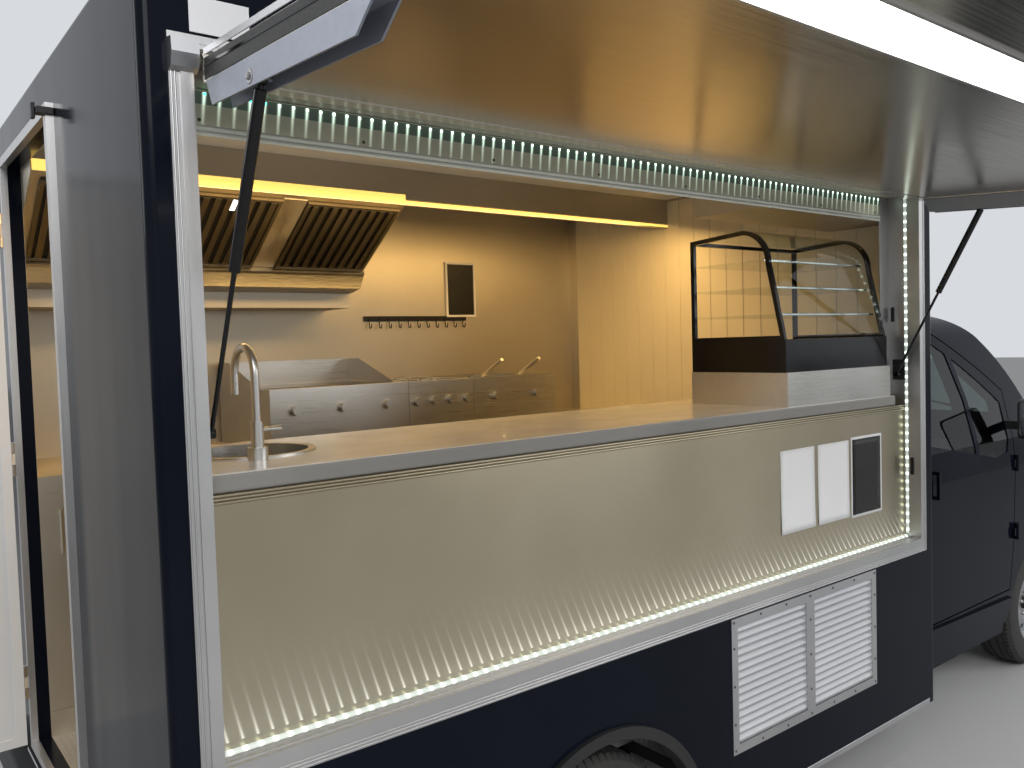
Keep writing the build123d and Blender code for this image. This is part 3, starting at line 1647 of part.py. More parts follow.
frame_bar = 16
case_glass = 6
with BuildPart() as display_case:
    block(case_x, (-1040, case_back), (counter_top_z, 1722))
    block((case_x[0] + 6, case_x[1] - 6), (-1030, case_back), (1722, 1842))
    for x in (case_x[0] + 6, case_x[1] - 6 - frame_bar):
        with BuildSketch(section(x)):
            add(case_outline(0))
            add(case_outline(frame_bar), mode=Mode.SUBTRACT)
        extrude(amount=frame_bar)
    block(
        (case_x[0] + 6, case_x[1] - 6),
        (case_back - frame_bar, case_back),
        (2233 - frame_bar, 2233 - 2),
    )
save(display_case, "display_case")

with BuildPart() as display_glass:
    with BuildSketch(section(case_x[0] + 6 + frame_bar)):
        add(case_outline(0))
        add(case_outline(case_glass), mode=Mode.SUBTRACT)
        with BuildSketch(mode=Mode.PRIVATE) as kept:
            Polygon((-1100, 1850), (-1100, 2300), (case_back - 60, 2300), (case_back - 60, 2200), (-980, 1850), align=None)
        add(kept.sketch, mode=Mode.INTERSECT)
    extrude(amount=case_x[1] - case_x[0] - 12 - 2 * frame_bar)
    for z, y in ((1930, -980), (2030, -960), (2130, -930)):
        block(
            (case_x[0] + 6 + frame_bar, case_x[1] - 6 - frame_bar),
            (y, case_back - frame_bar),
            (z, z + 6),
        )
save(display_glass, "display_glass")
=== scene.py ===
import math

import bpy
import numpy as np
from mathutils import Matrix, Vector


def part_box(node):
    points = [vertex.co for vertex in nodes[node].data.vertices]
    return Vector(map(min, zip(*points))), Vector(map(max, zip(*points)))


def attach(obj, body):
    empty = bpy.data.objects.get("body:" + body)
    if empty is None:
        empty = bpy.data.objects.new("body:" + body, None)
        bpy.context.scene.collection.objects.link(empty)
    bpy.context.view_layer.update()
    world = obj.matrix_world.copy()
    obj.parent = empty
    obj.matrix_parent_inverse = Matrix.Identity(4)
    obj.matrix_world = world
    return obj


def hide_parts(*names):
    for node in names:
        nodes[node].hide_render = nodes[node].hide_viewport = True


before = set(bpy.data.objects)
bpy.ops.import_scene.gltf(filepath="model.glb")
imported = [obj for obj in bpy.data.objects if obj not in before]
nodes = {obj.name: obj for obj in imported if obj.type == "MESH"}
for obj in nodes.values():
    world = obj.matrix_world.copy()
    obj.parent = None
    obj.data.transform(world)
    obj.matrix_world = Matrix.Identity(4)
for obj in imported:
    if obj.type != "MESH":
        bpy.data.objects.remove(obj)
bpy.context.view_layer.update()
print("frame loaded")

# Box body, read from the frame: rear and front face, middle, outer and inner half width
boxLow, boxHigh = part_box("box_frame")
boxRear, boxFront = boxLow[0], boxHigh[0]
midY = (boxLow[1] + boxHigh[1]) / 2
wall = 0.04
halfBox = (boxHigh[1] - boxLow[1]) / 2
innerHalf = halfBox - wall

# The flap's hinge line, and its droop at rest
hingeY, hingeZ = midY - halfBox - 0.017, 2.44
droop = math.radians(4)


def atBox(x, y, z):
    # A point given from the rear face of the box and the middle of the truck
    return (boxRear + x, midY + y, z)


def stretch(low, high):
    # A span along X, given from the rear face of the box
    return (boxRear + low, boxRear + high)


# Shader sums and noise, all on object coordinates

def addNode(tree, kind, **values):
    node = tree.nodes.new(f"ShaderNode{kind}")
    for socket, value in values.items():
        node.inputs[socket].default_value = value
    return node


def linkNoise(tree, scale, detail=3.0):
    coords = addNode(tree, "TexCoord")
    mapping = addNode(tree, "Mapping", Scale=scale if isinstance(scale, tuple) else (scale,) * 3)
    noise = addNode(tree, "TexNoise", Scale=1.0, Detail=detail)
    tree.links.new(coords.outputs["Object"], mapping.inputs["Vector"])
    tree.links.new(mapping.outputs["Vector"], noise.inputs["Vector"])
    return noise.outputs["Fac"]


def ranged(tree, value, low, high):
    # The middle of the noise's spread is stretched from low to high
    node = addNode(tree, "MapRange", **{"From Min": 0.32, "From Max": 0.68, "To Min": low, "To Max": high})
    tree.links.new(value, node.inputs["Value"])
    return node.outputs["Result"]


def mixed(tree, factor, first, second):
    # Each colour is a tuple or another node's output
    node = addNode(tree, "Mix")
    node.data_type = "RGBA"
    tree.links.new(factor, node.inputs[0])
    for index, color in ((6, first), (7, second)):
        if isinstance(color, tuple):
            node.inputs[index].default_value = (*color, 1)
        else:
            tree.links.new(color, node.inputs[index])
    return node.outputs[2]


def calc(tree, operation, *values):
    node = addNode(tree, "Math")
    node.operation = operation
    for index, value in enumerate(values):
        if isinstance(value, (int, float)):
            node.inputs[index].default_value = value
        else:
            tree.links.new(value, node.inputs[index])
    return node.outputs["Value"]


def product(tree, first, *others):
    for other in others:
        first = calc(tree, "MULTIPLY", first, other)
    return first


def total(tree, first, second):
    return calc(tree, "ADD", first, second)


def less(tree, first, second):
    return calc(tree, "SUBTRACT", first, second)


def wave(tree, shape, value, pitch):
    return calc(tree, shape, product(tree, value, 2 * math.pi / pitch))


def objectAxis(tree, axis):
    coords = addNode(tree, "TexCoord")
    parts = addNode(tree, "SeparateXYZ")
    tree.links.new(coords.outputs["Object"], parts.inputs["Vector"])
    return parts.outputs[axis]


def within(tree, axis, low, high):
    # One between low and high along an axis, and zero elsewhere
    place = objectAxis(tree, axis)
    return product(tree, calc(tree, "GREATER_THAN", place, low), calc(tree, "LESS_THAN", place, high))


def bumped(tree, shader, height, distance):
    node = addNode(tree, "Bump", Strength=1.0, Distance=distance)
    tree.links.new(height, node.inputs["Height"])
    tree.links.new(node.outputs["Normal"], shader.inputs["Normal"])


# A look has two tones, a span of roughness, the scale and height of its fine grain, and the scale of its clouds

def coat(tones, rough, grain, relief=0, clouds=1.5, **sockets):
    return {"tones": tones, "rough": rough, "grain": grain, "relief": relief, "clouds": clouds, "sockets": sockets}


def metal(tones, rough, grain, relief=0.00002, **sockets):
    return coat(tones, rough, grain, relief, **{"Metallic": 1.0, **sockets})


def surface(tree, look):
    # Colour drifts between the tones on the clouds; roughness and relief follow the grain
    shader = addNode(tree, "BsdfPrincipled", **look["sockets"])
    clouds = linkNoise(tree, look["clouds"], 4.0)
    grain = linkNoise(tree, look["grain"])
    tree.links.new(mixed(tree, ranged(tree, clouds, 0, 1), *look["tones"]), shader.inputs["Base Color"])
    spread = total(tree, product(tree, grain, 0.6), product(tree, clouds, 0.4))
    tree.links.new(ranged(tree, spread, *look["rough"]), shader.inputs["Roughness"])
    if look["relief"]:
        bumped(tree, shader, grain, look["relief"])
    return shader


def built(name, paint, *args):
    # The paint function lays out the nodes and returns the one that makes the surface
    material = bpy.data.materials.new(name)
    material.use_nodes = True
    tree = material.node_tree
    tree.nodes.clear()
    out = addNode(tree, "OutputMaterial")
    tree.links.new(paint(tree, *args).outputs[0], out.inputs["Surface"])
    return material


def blend(tree, factor, first, second):
    mix = addNode(tree, "MixShader")
    for value, socket in zip((factor, first.outputs[0], second.outputs[0]), mix.inputs):
        tree.links.new(value, socket)
    return mix


def finish(name, look):
    return built(name, surface, look)


def masked(name, first, second, mask):
    # The second look shows where the mask is one
    return built(name, lambda tree: blend(tree, mask(tree), surface(tree, first), surface(tree, second)))


def masking(axis, low, high):
    return lambda tree: within(tree, axis, low, high)


def glowing(tree, color, strength):
    tint = (*color, 1)
    values = {"Base Color": tint, "Emission Color": tint, "Emission Strength": strength}
    shader = addNode(tree, "BsdfPrincipled", **values)
    tree.links.new(ranged(tree, linkNoise(tree, 60), 0.3, 0.5), shader.inputs["Roughness"])
    return shader


def clearGlass(tree, tint, smear):
    # Thin panes: tinted straight through, with a sharp reflection that grows at a glancing angle
    through = addNode(tree, "BsdfTransparent", Color=(*tint, 1))
    gloss = addNode(tree, "BsdfGlossy")
    tree.links.new(ranged(tree, linkNoise(tree, 5, 5.0), 0.0, smear), gloss.inputs["Roughness"])
    fresnel = addNode(tree, "Fresnel", IOR=1.5)
    facing = addNode(tree, "NewGeometry")
    front = less(tree, 1.0, facing.outputs["Backfacing"])  # the back of a pane adds no second reflection
    return blend(tree, product(tree, fresnel.outputs["Fac"], front), through, gloss)


# Paint and coatings
paintLook = coat(
    ((0.0035, 0.005, 0.01), (0.005, 0.007, 0.013)), (0.1, 0.24), (9, 9, 0.9),
    **{"Coat Weight": 0.02, "Coat Roughness": 0.05, "Specular IOR Level": 0.07},
)
whiteLook = coat(((0.62, 0.63, 0.64), (0.7, 0.71, 0.71)), (0.26, 0.42), (7, 7, 2), 0.0003)
creamLook = coat(((0.66, 0.6, 0.47), (0.72, 0.66, 0.52)), (0.28, 0.42), (60, 60, 4), 0.0002)
glossLook = coat(((0.004, 0.004, 0.005), (0.007, 0.007, 0.008)), (0.06, 0.2), 5, **{"Specular IOR Level": 0.3})
bladeLook = coat(((0.62, 0.63, 0.66), (0.7, 0.71, 0.73)), (0.35, 0.5), 30)
blackPaint = finish("blackPaint", paintLook)
whitePanel = finish("whitePanel", whiteLook)
glossBlack = finish("glossBlack", glossLook)
chassisPaint = finish("chassisPaint", coat(((0.016, 0.016, 0.017), (0.034, 0.031, 0.028)), (0.45, 0.75), 40, 0.0006, 3))
rimPaint = finish("rimPaint", coat(((0.3, 0.31, 0.32), (0.4, 0.41, 0.42)), (0.28, 0.42), 25, clouds=6, Metallic=0.7))
trimPaint = finish("trimPaint", coat(((0.27, 0.24, 0.19), (0.33, 0.3, 0.25)), (0.5, 0.65), 60))
lipPaint = finish("lipPaint", coat(((0.7, 0.72, 0.64), (0.78, 0.8, 0.72)), (0.35, 0.5), 60))

# Metals; brushed ones have a grain drawn out along one axis
aluminiumLook = metal(((0.46, 0.46, 0.47), (0.54, 0.54, 0.55)), (0.3, 0.42), (4, 500, 500))
uprightLook = metal(((0.46, 0.455, 0.455), (0.56, 0.555, 0.55)), (0.3, 0.44), (300, 300, 3))
stainlessLook = metal(((0.5, 0.485, 0.45), (0.6, 0.585, 0.55)), (0.25, 0.33), (3, 420, 420))
kitchenSteelLook = metal(((0.48, 0.44, 0.36), (0.56, 0.52, 0.44)), (0.42, 0.5), (500, 500, 3), Anisotropic=0.5)
flapLook = metal(((0.6, 0.56, 0.5), (0.68, 0.64, 0.57)), (0.14, 0.26), (3, 350, 350))
plateLook = metal(((0.5, 0.51, 0.52), (0.6, 0.6, 0.6)), (0.3, 0.45), 90, relief=0)
aluminium = finish("aluminium", aluminiumLook)
aluminiumUpright = finish("aluminiumUpright", uprightLook)
stainless = finish("stainless", stainlessLook)
kitchenSteel = finish("kitchenSteel", kitchenSteelLook)
filterSteel = finish("filterSteel", metal(((0.15, 0.13, 0.09), (0.2, 0.175, 0.13)), (0.3, 0.42), (300, 3, 300)))
channelSkin = finish("channelSkin", metal(((0.26, 0.28, 0.33), (0.33, 0.35, 0.4)), (0.42, 0.55), 60, Metallic=0.6))
galvanised = finish("galvanised", metal(((0.3, 0.3, 0.31), (0.42, 0.41, 0.4)), (0.38, 0.6), 30, 0.0003))
chrome = finish("chrome", metal(((0.7, 0.71, 0.72), (0.78, 0.79, 0.8)), (0.06, 0.14), 40, 0))
castMetal = finish("castMetal", coat(((0.07, 0.068, 0.066), (0.12, 0.1, 0.085)), (0.5, 0.8), 220, 0.0008, Metallic=0.6))

# Plastic, rubber, paper, worktop and light
plasticLook = coat(
    ((0.014, 0.014, 0.015), (0.02, 0.02, 0.021)), (0.42, 0.58), 1400, 0.0001, **{"Specular IOR Level": 0.35},
)
slateLook = coat(((0.01, 0.01, 0.011), (0.018, 0.017, 0.016)), (0.25, 0.5), 40, **{"Specular IOR Level": 0.25})
topLook = coat(
    ((0.58, 0.57, 0.55), (0.66, 0.65, 0.63)), (0.1, 0.24), 260, clouds=5, **{"Coat Weight": 0.2},
)
edgeLook = coat(((0.2, 0.192, 0.175), (0.25, 0.24, 0.222)), (0.3, 0.45), 90)
plastic = finish("plastic", plasticLook)
rubber = finish("rubber", coat(((0.01, 0.01, 0.01), (0.02, 0.019, 0.018)), (0.5, 0.7), 300, 0.0003))
tyreRubber = finish("tyreRubber", coat(((0.014, 0.014, 0.014), (0.03, 0.028, 0.026)), (0.6, 0.85), 350, 0.0005, 4))
paper = finish("paper", coat(((0.7, 0.7, 0.71), (0.78, 0.78, 0.78)), (0.55, 0.7), 180, 0.0001))
slate = finish("slate", slateLook)
lampGlow = built("lampGlow", glowing, (1.0, 0.97, 0.9), 5.0)
ledMint = built("ledMint", glowing, (0.75, 1.0, 0.82), 5.0)
ledGreen = built("ledGreen", glowing, (0.05, 1.0, 0.5), 4.0)
ledWarm = built("ledWarm", glowing, (1.0, 0.66, 0.15), 1.15)
glass = built("glass", clearGlass, (0.93, 0.96, 0.94), 0.03)
cabGlass = built("cabGlass", clearGlass, (0.62, 0.68, 0.67), 0.02)
lampLens = built("lampLens", clearGlass, (0.86, 0.88, 0.9), 0.08)

# Diodes: their pitch, and where the first one is along X and up Z
ledPitch = 0.0333
ledStart = {"X": boxRear + 0.13, "Z": 1.04}


def beads(tree, axis, sharpness, lean=None):
    # One crest for each diode along the axis: a raised cosine to a power
    place = objectAxis(tree, axis)
    if lean is not None:
        place = total(tree, place, lean)
    crest = wave(tree, "COSINE", less(tree, place, ledStart[axis]), ledPitch)
    return calc(tree, "POWER", product(tree, total(tree, crest, 1.0), 0.5), sharpness)


def lit(tree, look, color, light):
    shader = surface(tree, look)
    shader.inputs["Emission Color"].default_value = (*color, 1)
    tree.links.new(light, shader.inputs["Emission Strength"])
    return shader


def paintedDiodeLight(tree, look, foot, way, tint, strengths, leans):
    # Painted light: a thin painted reflection streak runs from each diode over the sheet and fades, over a painted glow
    # that fades away from the diodes; each streak leans more towards the front of the box
    climb = product(tree, less(tree, objectAxis(tree, "Z"), foot), way)
    slant = product(tree, less(tree, objectAxis(tree, "X"), boxRear), leans[1])
    lean = product(tree, climb, total(tree, slant, leans[0]))
    near = calc(tree, "EXPONENT", product(tree, climb, -28.0))
    far = calc(tree, "EXPONENT", product(tree, climb, -11.0))
    clear = calc(tree, "GREATER_THAN", climb, 0.0)
    # painted reflection streak of each diode, carried in the emission
    paintedStreak = product(tree, near, beads(tree, "X", 11.0, lean), product(tree, clear, strengths[0]))
    # painted glow from the diodes, fading along the sheet
    glow = product(tree, calc(tree, "MINIMUM", far, 1.0), strengths[1])
    return lit(tree, look, tint, total(tree, paintedStreak, glow))


def ledTube(tree, axis, beadLight):
    # A pale tube lit from inside, brightest at each diode
    look = coat(((0.6, 0.64, 0.6), (0.68, 0.7, 0.66)), (0.3, 0.4), 90)
    light = total(tree, product(tree, beads(tree, axis, 5.0), beadLight), 0.3)
    return lit(tree, look, (0.86, 1.0, 0.9), light)


def chequerPlate(tree):
    # Lens-shaped studs in two directions: the product of two slanted cosines, cut off low
    shader = surface(tree, plateLook)
    x, y = objectAxis(tree, "X"), objectAxis(tree, "Y")
    along = wave(tree, "COSINE", total(tree, x, y), 0.04)
    across = wave(tree, "COSINE", less(tree, x, y), 0.04)
    bumped(tree, shader, calc(tree, "MAXIMUM", product(tree, along, across), 0.35), 0.002)
    return shader


def weave(tree):
    # Two crossed bands of threads over a mottled cloth
    sheen = {"Sheen Weight": 0.3, "Sheen Roughness": 0.5}
    shader = surface(tree, coat(((0.022, 0.024, 0.028), (0.05, 0.052, 0.058)), (0.8, 0.95), 900, **sheen))
    x, y, z = (objectAxis(tree, axis) for axis in "XYZ")
    warp = wave(tree, "SINE", total(tree, x, z), 0.003)
    weft = wave(tree, "SINE", y, 0.003)
    bumped(tree, shader, product(tree, warp, weft), 0.0006)
    return shader


def rearLens(tree):
    # Red above, amber in the middle and a pale foot, with fine level flutes
    shader = addNode(tree, "BsdfPrincipled", **{"Coat Weight": 0.6})
    z = objectAxis(tree, "Z")
    foot = mixed(tree, calc(tree, "GREATER_THAN", z, 0.58), (0.6, 0.6, 0.58), (0.6, 0.17, 0.01))
    color = mixed(tree, calc(tree, "GREATER_THAN", z, 0.64), foot, (0.35, 0.006, 0.005))
    tree.links.new(color, shader.inputs["Base Color"])
    tree.links.new(ranged(tree, linkNoise(tree, 8), 0.12, 0.25), shader.inputs["Roughness"])
    bumped(tree, shader, wave(tree, "SINE", z, 0.006), 0.001)
    return shader


def flapTop(tree):
    # Top skin inside a bare rim; depth is measured square to the drooping top
    y = product(tree, less(tree, objectAxis(tree, "Y"), hingeY), math.sin(droop))
    z = product(tree, less(tree, objectAxis(tree, "Z"), hingeZ), math.cos(droop))
    top = calc(tree, "LESS_THAN", less(tree, y, z), 0.0178)
    lengthwise = within(tree, "X", *stretch(0.133, 2.943))
    return product(tree, top, product(tree, lengthwise, within(tree, "Y", hingeY - 1.395, hingeY + 1)))


def insideBox(tree):
    lengthwise = within(tree, "X", boxRear + 0.0395, boxFront - 0.03)
    return product(tree, lengthwise, within(tree, "Y", midY - 1.08, midY + 1.08), within(tree, "Z", 0.5, 2.62))


# Sheets with painted diode light, painted reflection streaks and a painted glow in their emission: the panel under the
# counter, and the header with its dark band
brushed = {"Anisotropic": 0.6, "Anisotropic Rotation": 0.25}
panelLook = metal(((0.34, 0.295, 0.205), (0.4, 0.355, 0.26)), (0.27, 0.36), 260, **brushed)
sheetLook = {**panelLook, "tones": ((0.46, 0.41, 0.31), (0.53, 0.48, 0.37))}
bandLook = {**panelLook, "tones": ((0.05, 0.075, 0.06), (0.08, 0.11, 0.09))}
panelSheet = built("panelSheet", paintedDiodeLight, panelLook, 1.031, 1, (1.0, 0.98, 0.86), (0.75, 0.11), (0.2, 0.22))
headerSheet = built("headerSheet", paintedDiodeLight, sheetLook, 2.404, -1, (0.85, 1.0, 0.78), (1.2, 0.1), (0.1, 0.0))
headerBand = built("headerBand", paintedDiodeLight, bandLook, 2.404, -1, (0.75, 1.0, 0.8), (1.8, 0.05), (0.1, 0.0))
seatCloth = built("weave", weave)

# Node names by material; far stands for no limit on one side
far = 9
leftInside = masking("Y", 0, midY + innerHalf + 0.002)
rightInside = masking("Y", midY - innerHalf - 0.002, far)
dress = {
    blackPaint: "cab_shell bonnet cab_door_left cab_door_right",
    masked("frameSkin", paintLook, kitchenSteelLook, insideBox): "box_frame",
    masked("leftWallSkin", paintLook, kitchenSteelLook, leftInside): "wall_left",
    masked("rightWallSkin", paintLook, creamLook, rightInside): "wall_right",
    masked("endSkin", paintLook, creamLook, insideBox): "end_walls",
    whitePanel: "box_roof",
    masked("doorSkin", whiteLook, paintLook, masking("Y", midY + 0.4405, midY + 0.4425)): "rear_door",
    masked("flapSkin", flapLook, paintLook, flapTop): "service_flap",
    channelSkin: "flap_channels",
    masked("ventSkin", aluminiumLook, bladeLook, masking("Y", midY - 1.1095, far)): "vent_grille",
    aluminiumUpright: "hatch_frame door_surround",
    built("chequerPlate", chequerPlate): "box_floor",
    panelSheet: "service_panel",
    stainless: "sink_tap cooking_range front_cabinet",
    kitchenSteel: "extractor_hood back_counter",
    masked("worktop", edgeLook, topLook, masking("Z", 1.5975, 2)): "counter_top",
    chassisPaint: "chassis_frame rear_axle",
    castMetal: "engine_block knuckle_left knuckle_right",
    galvanised: "exhaust",
    plastic: "fuel_tank rear_bumper mirror_left mirror_right front_bumper front_grille dashboard"
    " steering_wheel arch_trims strut_brackets",
    glossBlack: "strut_cylinder_rear strut_cylinder_front strut_rod_rear strut_rod_front",
    masked("caseSkin", stainlessLook, glossLook, masking("Z", 1.7225, 3)): "display_case",
    tyreRubber: "tyre_front_left tyre_front_right tyre_rear_left tyre_rear_right",
    rimPaint: "rim_front_left rim_front_right rim_rear_left rim_rear_right",
    seatCloth: "cab_seats",
    built("rearLens", rearLens): "rear_lamps",
    lampLens: "headlamps",
    lampGlow: "flap_lamp",
    glass: "display_glass",
    cabGlass: "windscreen door_glass_left door_glass_right",
}
for material, names in dress.items():
    for name in names.split():
        mesh = nodes[name].data
        mesh.materials.clear()
        mesh.materials.append(material)
print("materials placed")


# Shapes: arrays of points and faces in metres, joined into pieces that ride on a body

def link(name, data, body):
    obj = bpy.data.objects.new(name, data)
    bpy.context.scene.collection.objects.link(obj)
    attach(obj, body)
    return obj


def addMesh(name, arrays, material, body="truck", smooth=False):
    verts, faces = arrays
    mesh = bpy.data.meshes.new(name)
    mesh.from_pydata(np.asarray(verts, float).tolist(), [], faces)
    mesh.materials.append(material)
    if smooth:
        mesh.polygons.foreach_set("use_smooth", [True] * len(mesh.polygons))
    mesh.update()
    return link(name, mesh, body)


def tube(name, points, radius, material):
    curve = bpy.data.curves.new(name, "CURVE")
    curve.dimensions = "3D"
    curve.bevel_depth = radius
    curve.bevel_resolution = 3
    curve.use_fill_caps = True
    spline = curve.splines.new("POLY")
    spline.points.add(len(points) - 1)
    spline.points.foreach_set("co", [value for point in points for value in (*point, 1.0)])
    curve.materials.append(material)
    return link(name, curve, "truck")


def joined(parts):
    verts, faces, shift = [], [], 0
    for points, polygons in parts:
        verts.append(np.asarray(points, float))
        faces += [[corner + shift for corner in polygon] for polygon in polygons]
        shift += len(points)
    return np.vstack(verts), faces


def prism(outline, axis, span):
    # A closed outline in the two other axes, drawn out along the axis
    outline = np.asarray(outline, float)
    after = np.roll(outline, -1, axis=0)
    area = np.sum(outline[:, 0] * after[:, 1] - after[:, 0] * outline[:, 1])
    if area * (-1 if axis == 1 else 1) < 0:
        outline = outline[::-1]
    count = len(outline)
    others = [k for k in range(3) if k != axis]
    verts = np.zeros((2 * count, 3))
    verts[:, others] = np.vstack([outline, outline])
    verts[:count, axis], verts[count:, axis] = min(span), max(span)
    index = np.arange(count)
    following = (index + 1) % count
    sides = np.stack([index, following, following + count, index + count], 1).tolist()
    return verts, sides + [index[::-1].tolist(), (index + count).tolist()]


def bar(low, high, axis, cut=0.001):
    # A straight piece with its long edges chamfered
    a, b = (k for k in range(3) if k != axis)
    (x0, x1), (y0, y1) = sorted((low[a], high[a])), sorted((low[b], high[b]))
    outline = [
        (x0 + cut, y0), (x1 - cut, y0), (x1, y0 + cut), (x1, y1 - cut),
        (x1 - cut, y1), (x0 + cut, y1), (x0, y1 - cut), (x0, y0 + cut),
    ]
    return prism(outline, axis, (low[axis], high[axis]))


def boxBar(low, high, axis, cut=0.001):
    return bar(atBox(*low), atBox(*high), axis, cut)


def wallFaces(rings, count, base=0):
    # Faces between rings of points, each ring closed on itself
    k = np.arange(count)
    quad = np.stack([k, (k + 1) % count, (k + 1) % count + count, k + count], 1)
    return (base + quad[None] + count * np.arange(rings - 1)[:, None, None]).reshape(-1, 4).tolist()


def spokesAbout(axis, turn, sides):
    # Unit vectors square to an axis, evenly turned about it
    first = np.cross(axis, (0.0, 0.0, 1.0))
    first /= np.linalg.norm(first)
    angle = turn + 2 * np.pi * np.arange(sides) / sides
    return np.cos(angle)[:, None] * first + np.sin(angle)[:, None] * np.cross(axis, first)


def studs(centres, normal, radius, height, sides, turn=0.0, crown=0.72):
    # Low domed studs with any number of sides, all on one face
    centres = np.asarray(centres, float)
    normal = np.asarray(normal, float)
    spokes = spokesAbout(normal, turn, sides)
    rings = [radius * spokes, radius * spokes + 0.6 * height * normal, crown * radius * spokes + height * normal]
    verts = (centres[:, None, :] + np.vstack(rings)[None]).reshape(-1, 3)
    faces = []
    for base in 3 * sides * np.arange(len(centres)):
        faces += wallFaces(3, sides, base)
        faces.append([base + 2 * sides + k for k in range(sides)])
        faces.append([base + k for k in reversed(range(sides))])
    return verts, faces


def lathe(profile, origin, direction, segments=32):
    # Radius and distance along the axis, turned about it; the two ends are closed by flat caps
    profile = np.asarray(profile, float)
    direction = np.asarray(direction, float)
    spokes = spokesAbout(direction, 0.0, segments)
    verts = np.asarray(origin) + profile[:, 0, None, None] * spokes + profile[:, 1, None, None] * direction
    last = (len(profile) - 1) * segments
    caps = [list(reversed(range(segments))), [last + k for k in range(segments)]]
    return verts.reshape(-1, 3), wallFaces(len(profile), segments) + caps


def screws(name, places, radius, height):
    # Screw heads on faces that look to the hatch side
    addMesh(name, studs([atBox(*place) for place in places], (0, -1, 0), radius, height, 10), castMetal)


halfTurn = np.linspace(0, np.pi, 9)
arc = np.stack([np.cos(halfTurn), np.sin(halfTurn)], 1)


def halfRounds(places, axis, span, radius):
    # Half-round beads; each place gives the other two coordinates of its foot, and they bulge outwards
    bulge = arc[:, ::-1] * (-radius, radius) if axis == 0 else arc * (radius, -radius)
    return joined([prism(np.asarray(place) + bulge, axis, span) for place in places])


# Light strips round the hatch: tubes along sill and front jamb, diodes along the header
sillTube = {"x": (0.116, 2.97), "foot": (-1.0585, 1.011), "size": (0.0085, 0.008), "glow": 1.3}
outline = (midY + sillTube["foot"][0], sillTube["foot"][1]) + arc * sillTube["size"]
addMesh("sillTube", prism(outline, 0, stretch(*sillTube["x"])), built("sillTube", ledTube, "X", sillTube["glow"]))
jambTube = {"z": (1.024, 2.405), "foot": (2.976, -1.0615), "size": (-0.004, 0.006), "glow": 2.6}
outline = (boxRear + jambTube["foot"][0], midY + jambTube["foot"][1]) + arc[:, ::-1] * jambTube["size"]
addMesh("jambTube", prism(outline, 2, jambTube["z"]), built("jambTube", ledTube, "Z", jambTube["glow"]))
# The header sheet and its dark band carry painted diode reflections and a painted glow
addMesh("headerSheet", boxBar((0.116, -0.9915, 2.336), (2.906, -0.99, 2.408), 0, 0.0003), headerSheet)
addMesh("headerBand", boxBar((0.116, -0.9925, 2.378), (2.906, -0.9912, 2.406), 0, 0.0003), headerBand)
diode = {"radius": 0.0038, "height": 0.0016, "sides": 4, "turn": math.pi / 4}
diodePlaces = [atBox(x, -0.9922, 2.4) for x in np.arange(0.13, 2.9, ledPitch)]
greenCount = 6
addMesh("headerGreenDiodes", studs(diodePlaces[:greenCount], (0, -1, 0), **diode), ledGreen)
addMesh("headerDiodes", studs(diodePlaces[greenCount:], (0, -1, 0), **diode), ledMint)

# Trim over the diodes; ribs on the header, the panel and the frame's lip; their screws
addMesh("headerTrim", boxBar((0.1, -1.04, 2.41), (2.976, -0.99, 2.436), 0, 0.004), trimPaint)
ribs = {
    "headerRibs": {"y": -0.99, "z": (2.317, 2.329), "x": (0.116, 2.906), "radius": 0.005},
    "panelRibs": {"y": -1.05, "z": (1.538, 1.546, 1.554), "x": (0.104, 2.97), "radius": 0.0028},
}
for name, rib in ribs.items():
    feet = [(midY + rib["y"], z) for z in rib["z"]]
    addMesh(name, halfRounds(feet, 0, stretch(*rib["x"]), rib["radius"]), lipPaint)
lip = {
    "y": midY - 1.115, "sillZ": (0.957, 0.965, 0.973), "sillX": (0.075, 3.004), "sillRadius": 0.0025,
    "postX": (0.0575, 0.0645, 3.0145, 3.0215), "postZ": (0.96, 2.43), "postRadius": 0.0022,
}
sill = halfRounds([(lip["y"], z) for z in lip["sillZ"]], 0, stretch(*lip["sillX"]), lip["sillRadius"])
posts = halfRounds([(boxRear + x, lip["y"]) for x in lip["postX"]], 2, lip["postZ"], lip["postRadius"])
addMesh("lipRibs", joined([sill, posts]), aluminiumUpright)
screws("lipScrews", [(x, -1.115, 0.985) for x in np.linspace(0.25, 2.85, 8)], 0.0035, 0.0012)
screws("headerScrews", [(x, -0.9915, 2.345) for x in np.linspace(0.15, 2.87, 8)], 0.004, 0.0015)
screws("panelScrews", [(x, -1.0515, 1.547) for x in np.linspace(0.2, 2.85, 9)], 0.0035, 0.0015)
railEnd = [(midY + y, z) for y, z in (
    (-1.115, 2.462), (-1.138, 2.458), (-1.141, 2.43), (-1.132, 2.405), (-1.115, 2.398),
)]
for name, x in (("rear", (0.053, 0.1065)), ("front", (2.97, 3.026))):
    addMesh(f"railEnd_{name}", prism(railEnd, 0, stretch(*x)), aluminium)

# Cupboard behind the header, over the display case, with two doors
cupboard = [boxBar((2.13, -0.985, 2.316), (3.06, -0.672, 2.6), 0, 0.004)]
for x in (2.136, 2.6):
    cupboard.append(boxBar((x, -0.672, 2.322), (x + 0.456, -0.66, 2.594), 0, 0.003))
addMesh("headerCupboard", joined(cupboard), kitchenSteel)


# Blank sheets on the panel

def hungSheet(name, x, z, face, curl, material):
    # It stands off by the curl times the cube of the way down, and more at its corners
    u, v = np.meshgrid(np.linspace(0, 1, 9), np.linspace(0, 1, 13), indexing="ij")
    off = face - curl * (1 - v) ** 3 * (0.4 + 0.6 * (2 * u - 1) ** 2)
    points = [boxRear + x[0] + u * (x[1] - x[0]), midY + off, z[0] + v * (z[1] - z[0])]
    faces = [[i * 13 + j, (i + 1) * 13 + j, (i + 1) * 13 + j + 1, i * 13 + j + 1] for i in range(8) for j in range(12)]
    obj = addMesh(name, (np.stack(points, 2).reshape(-1, 3), faces), material, smooth=True)
    solid = obj.modifiers.new("thickness", "SOLIDIFY")
    solid.thickness = 0.0004
    solid.offset = 0


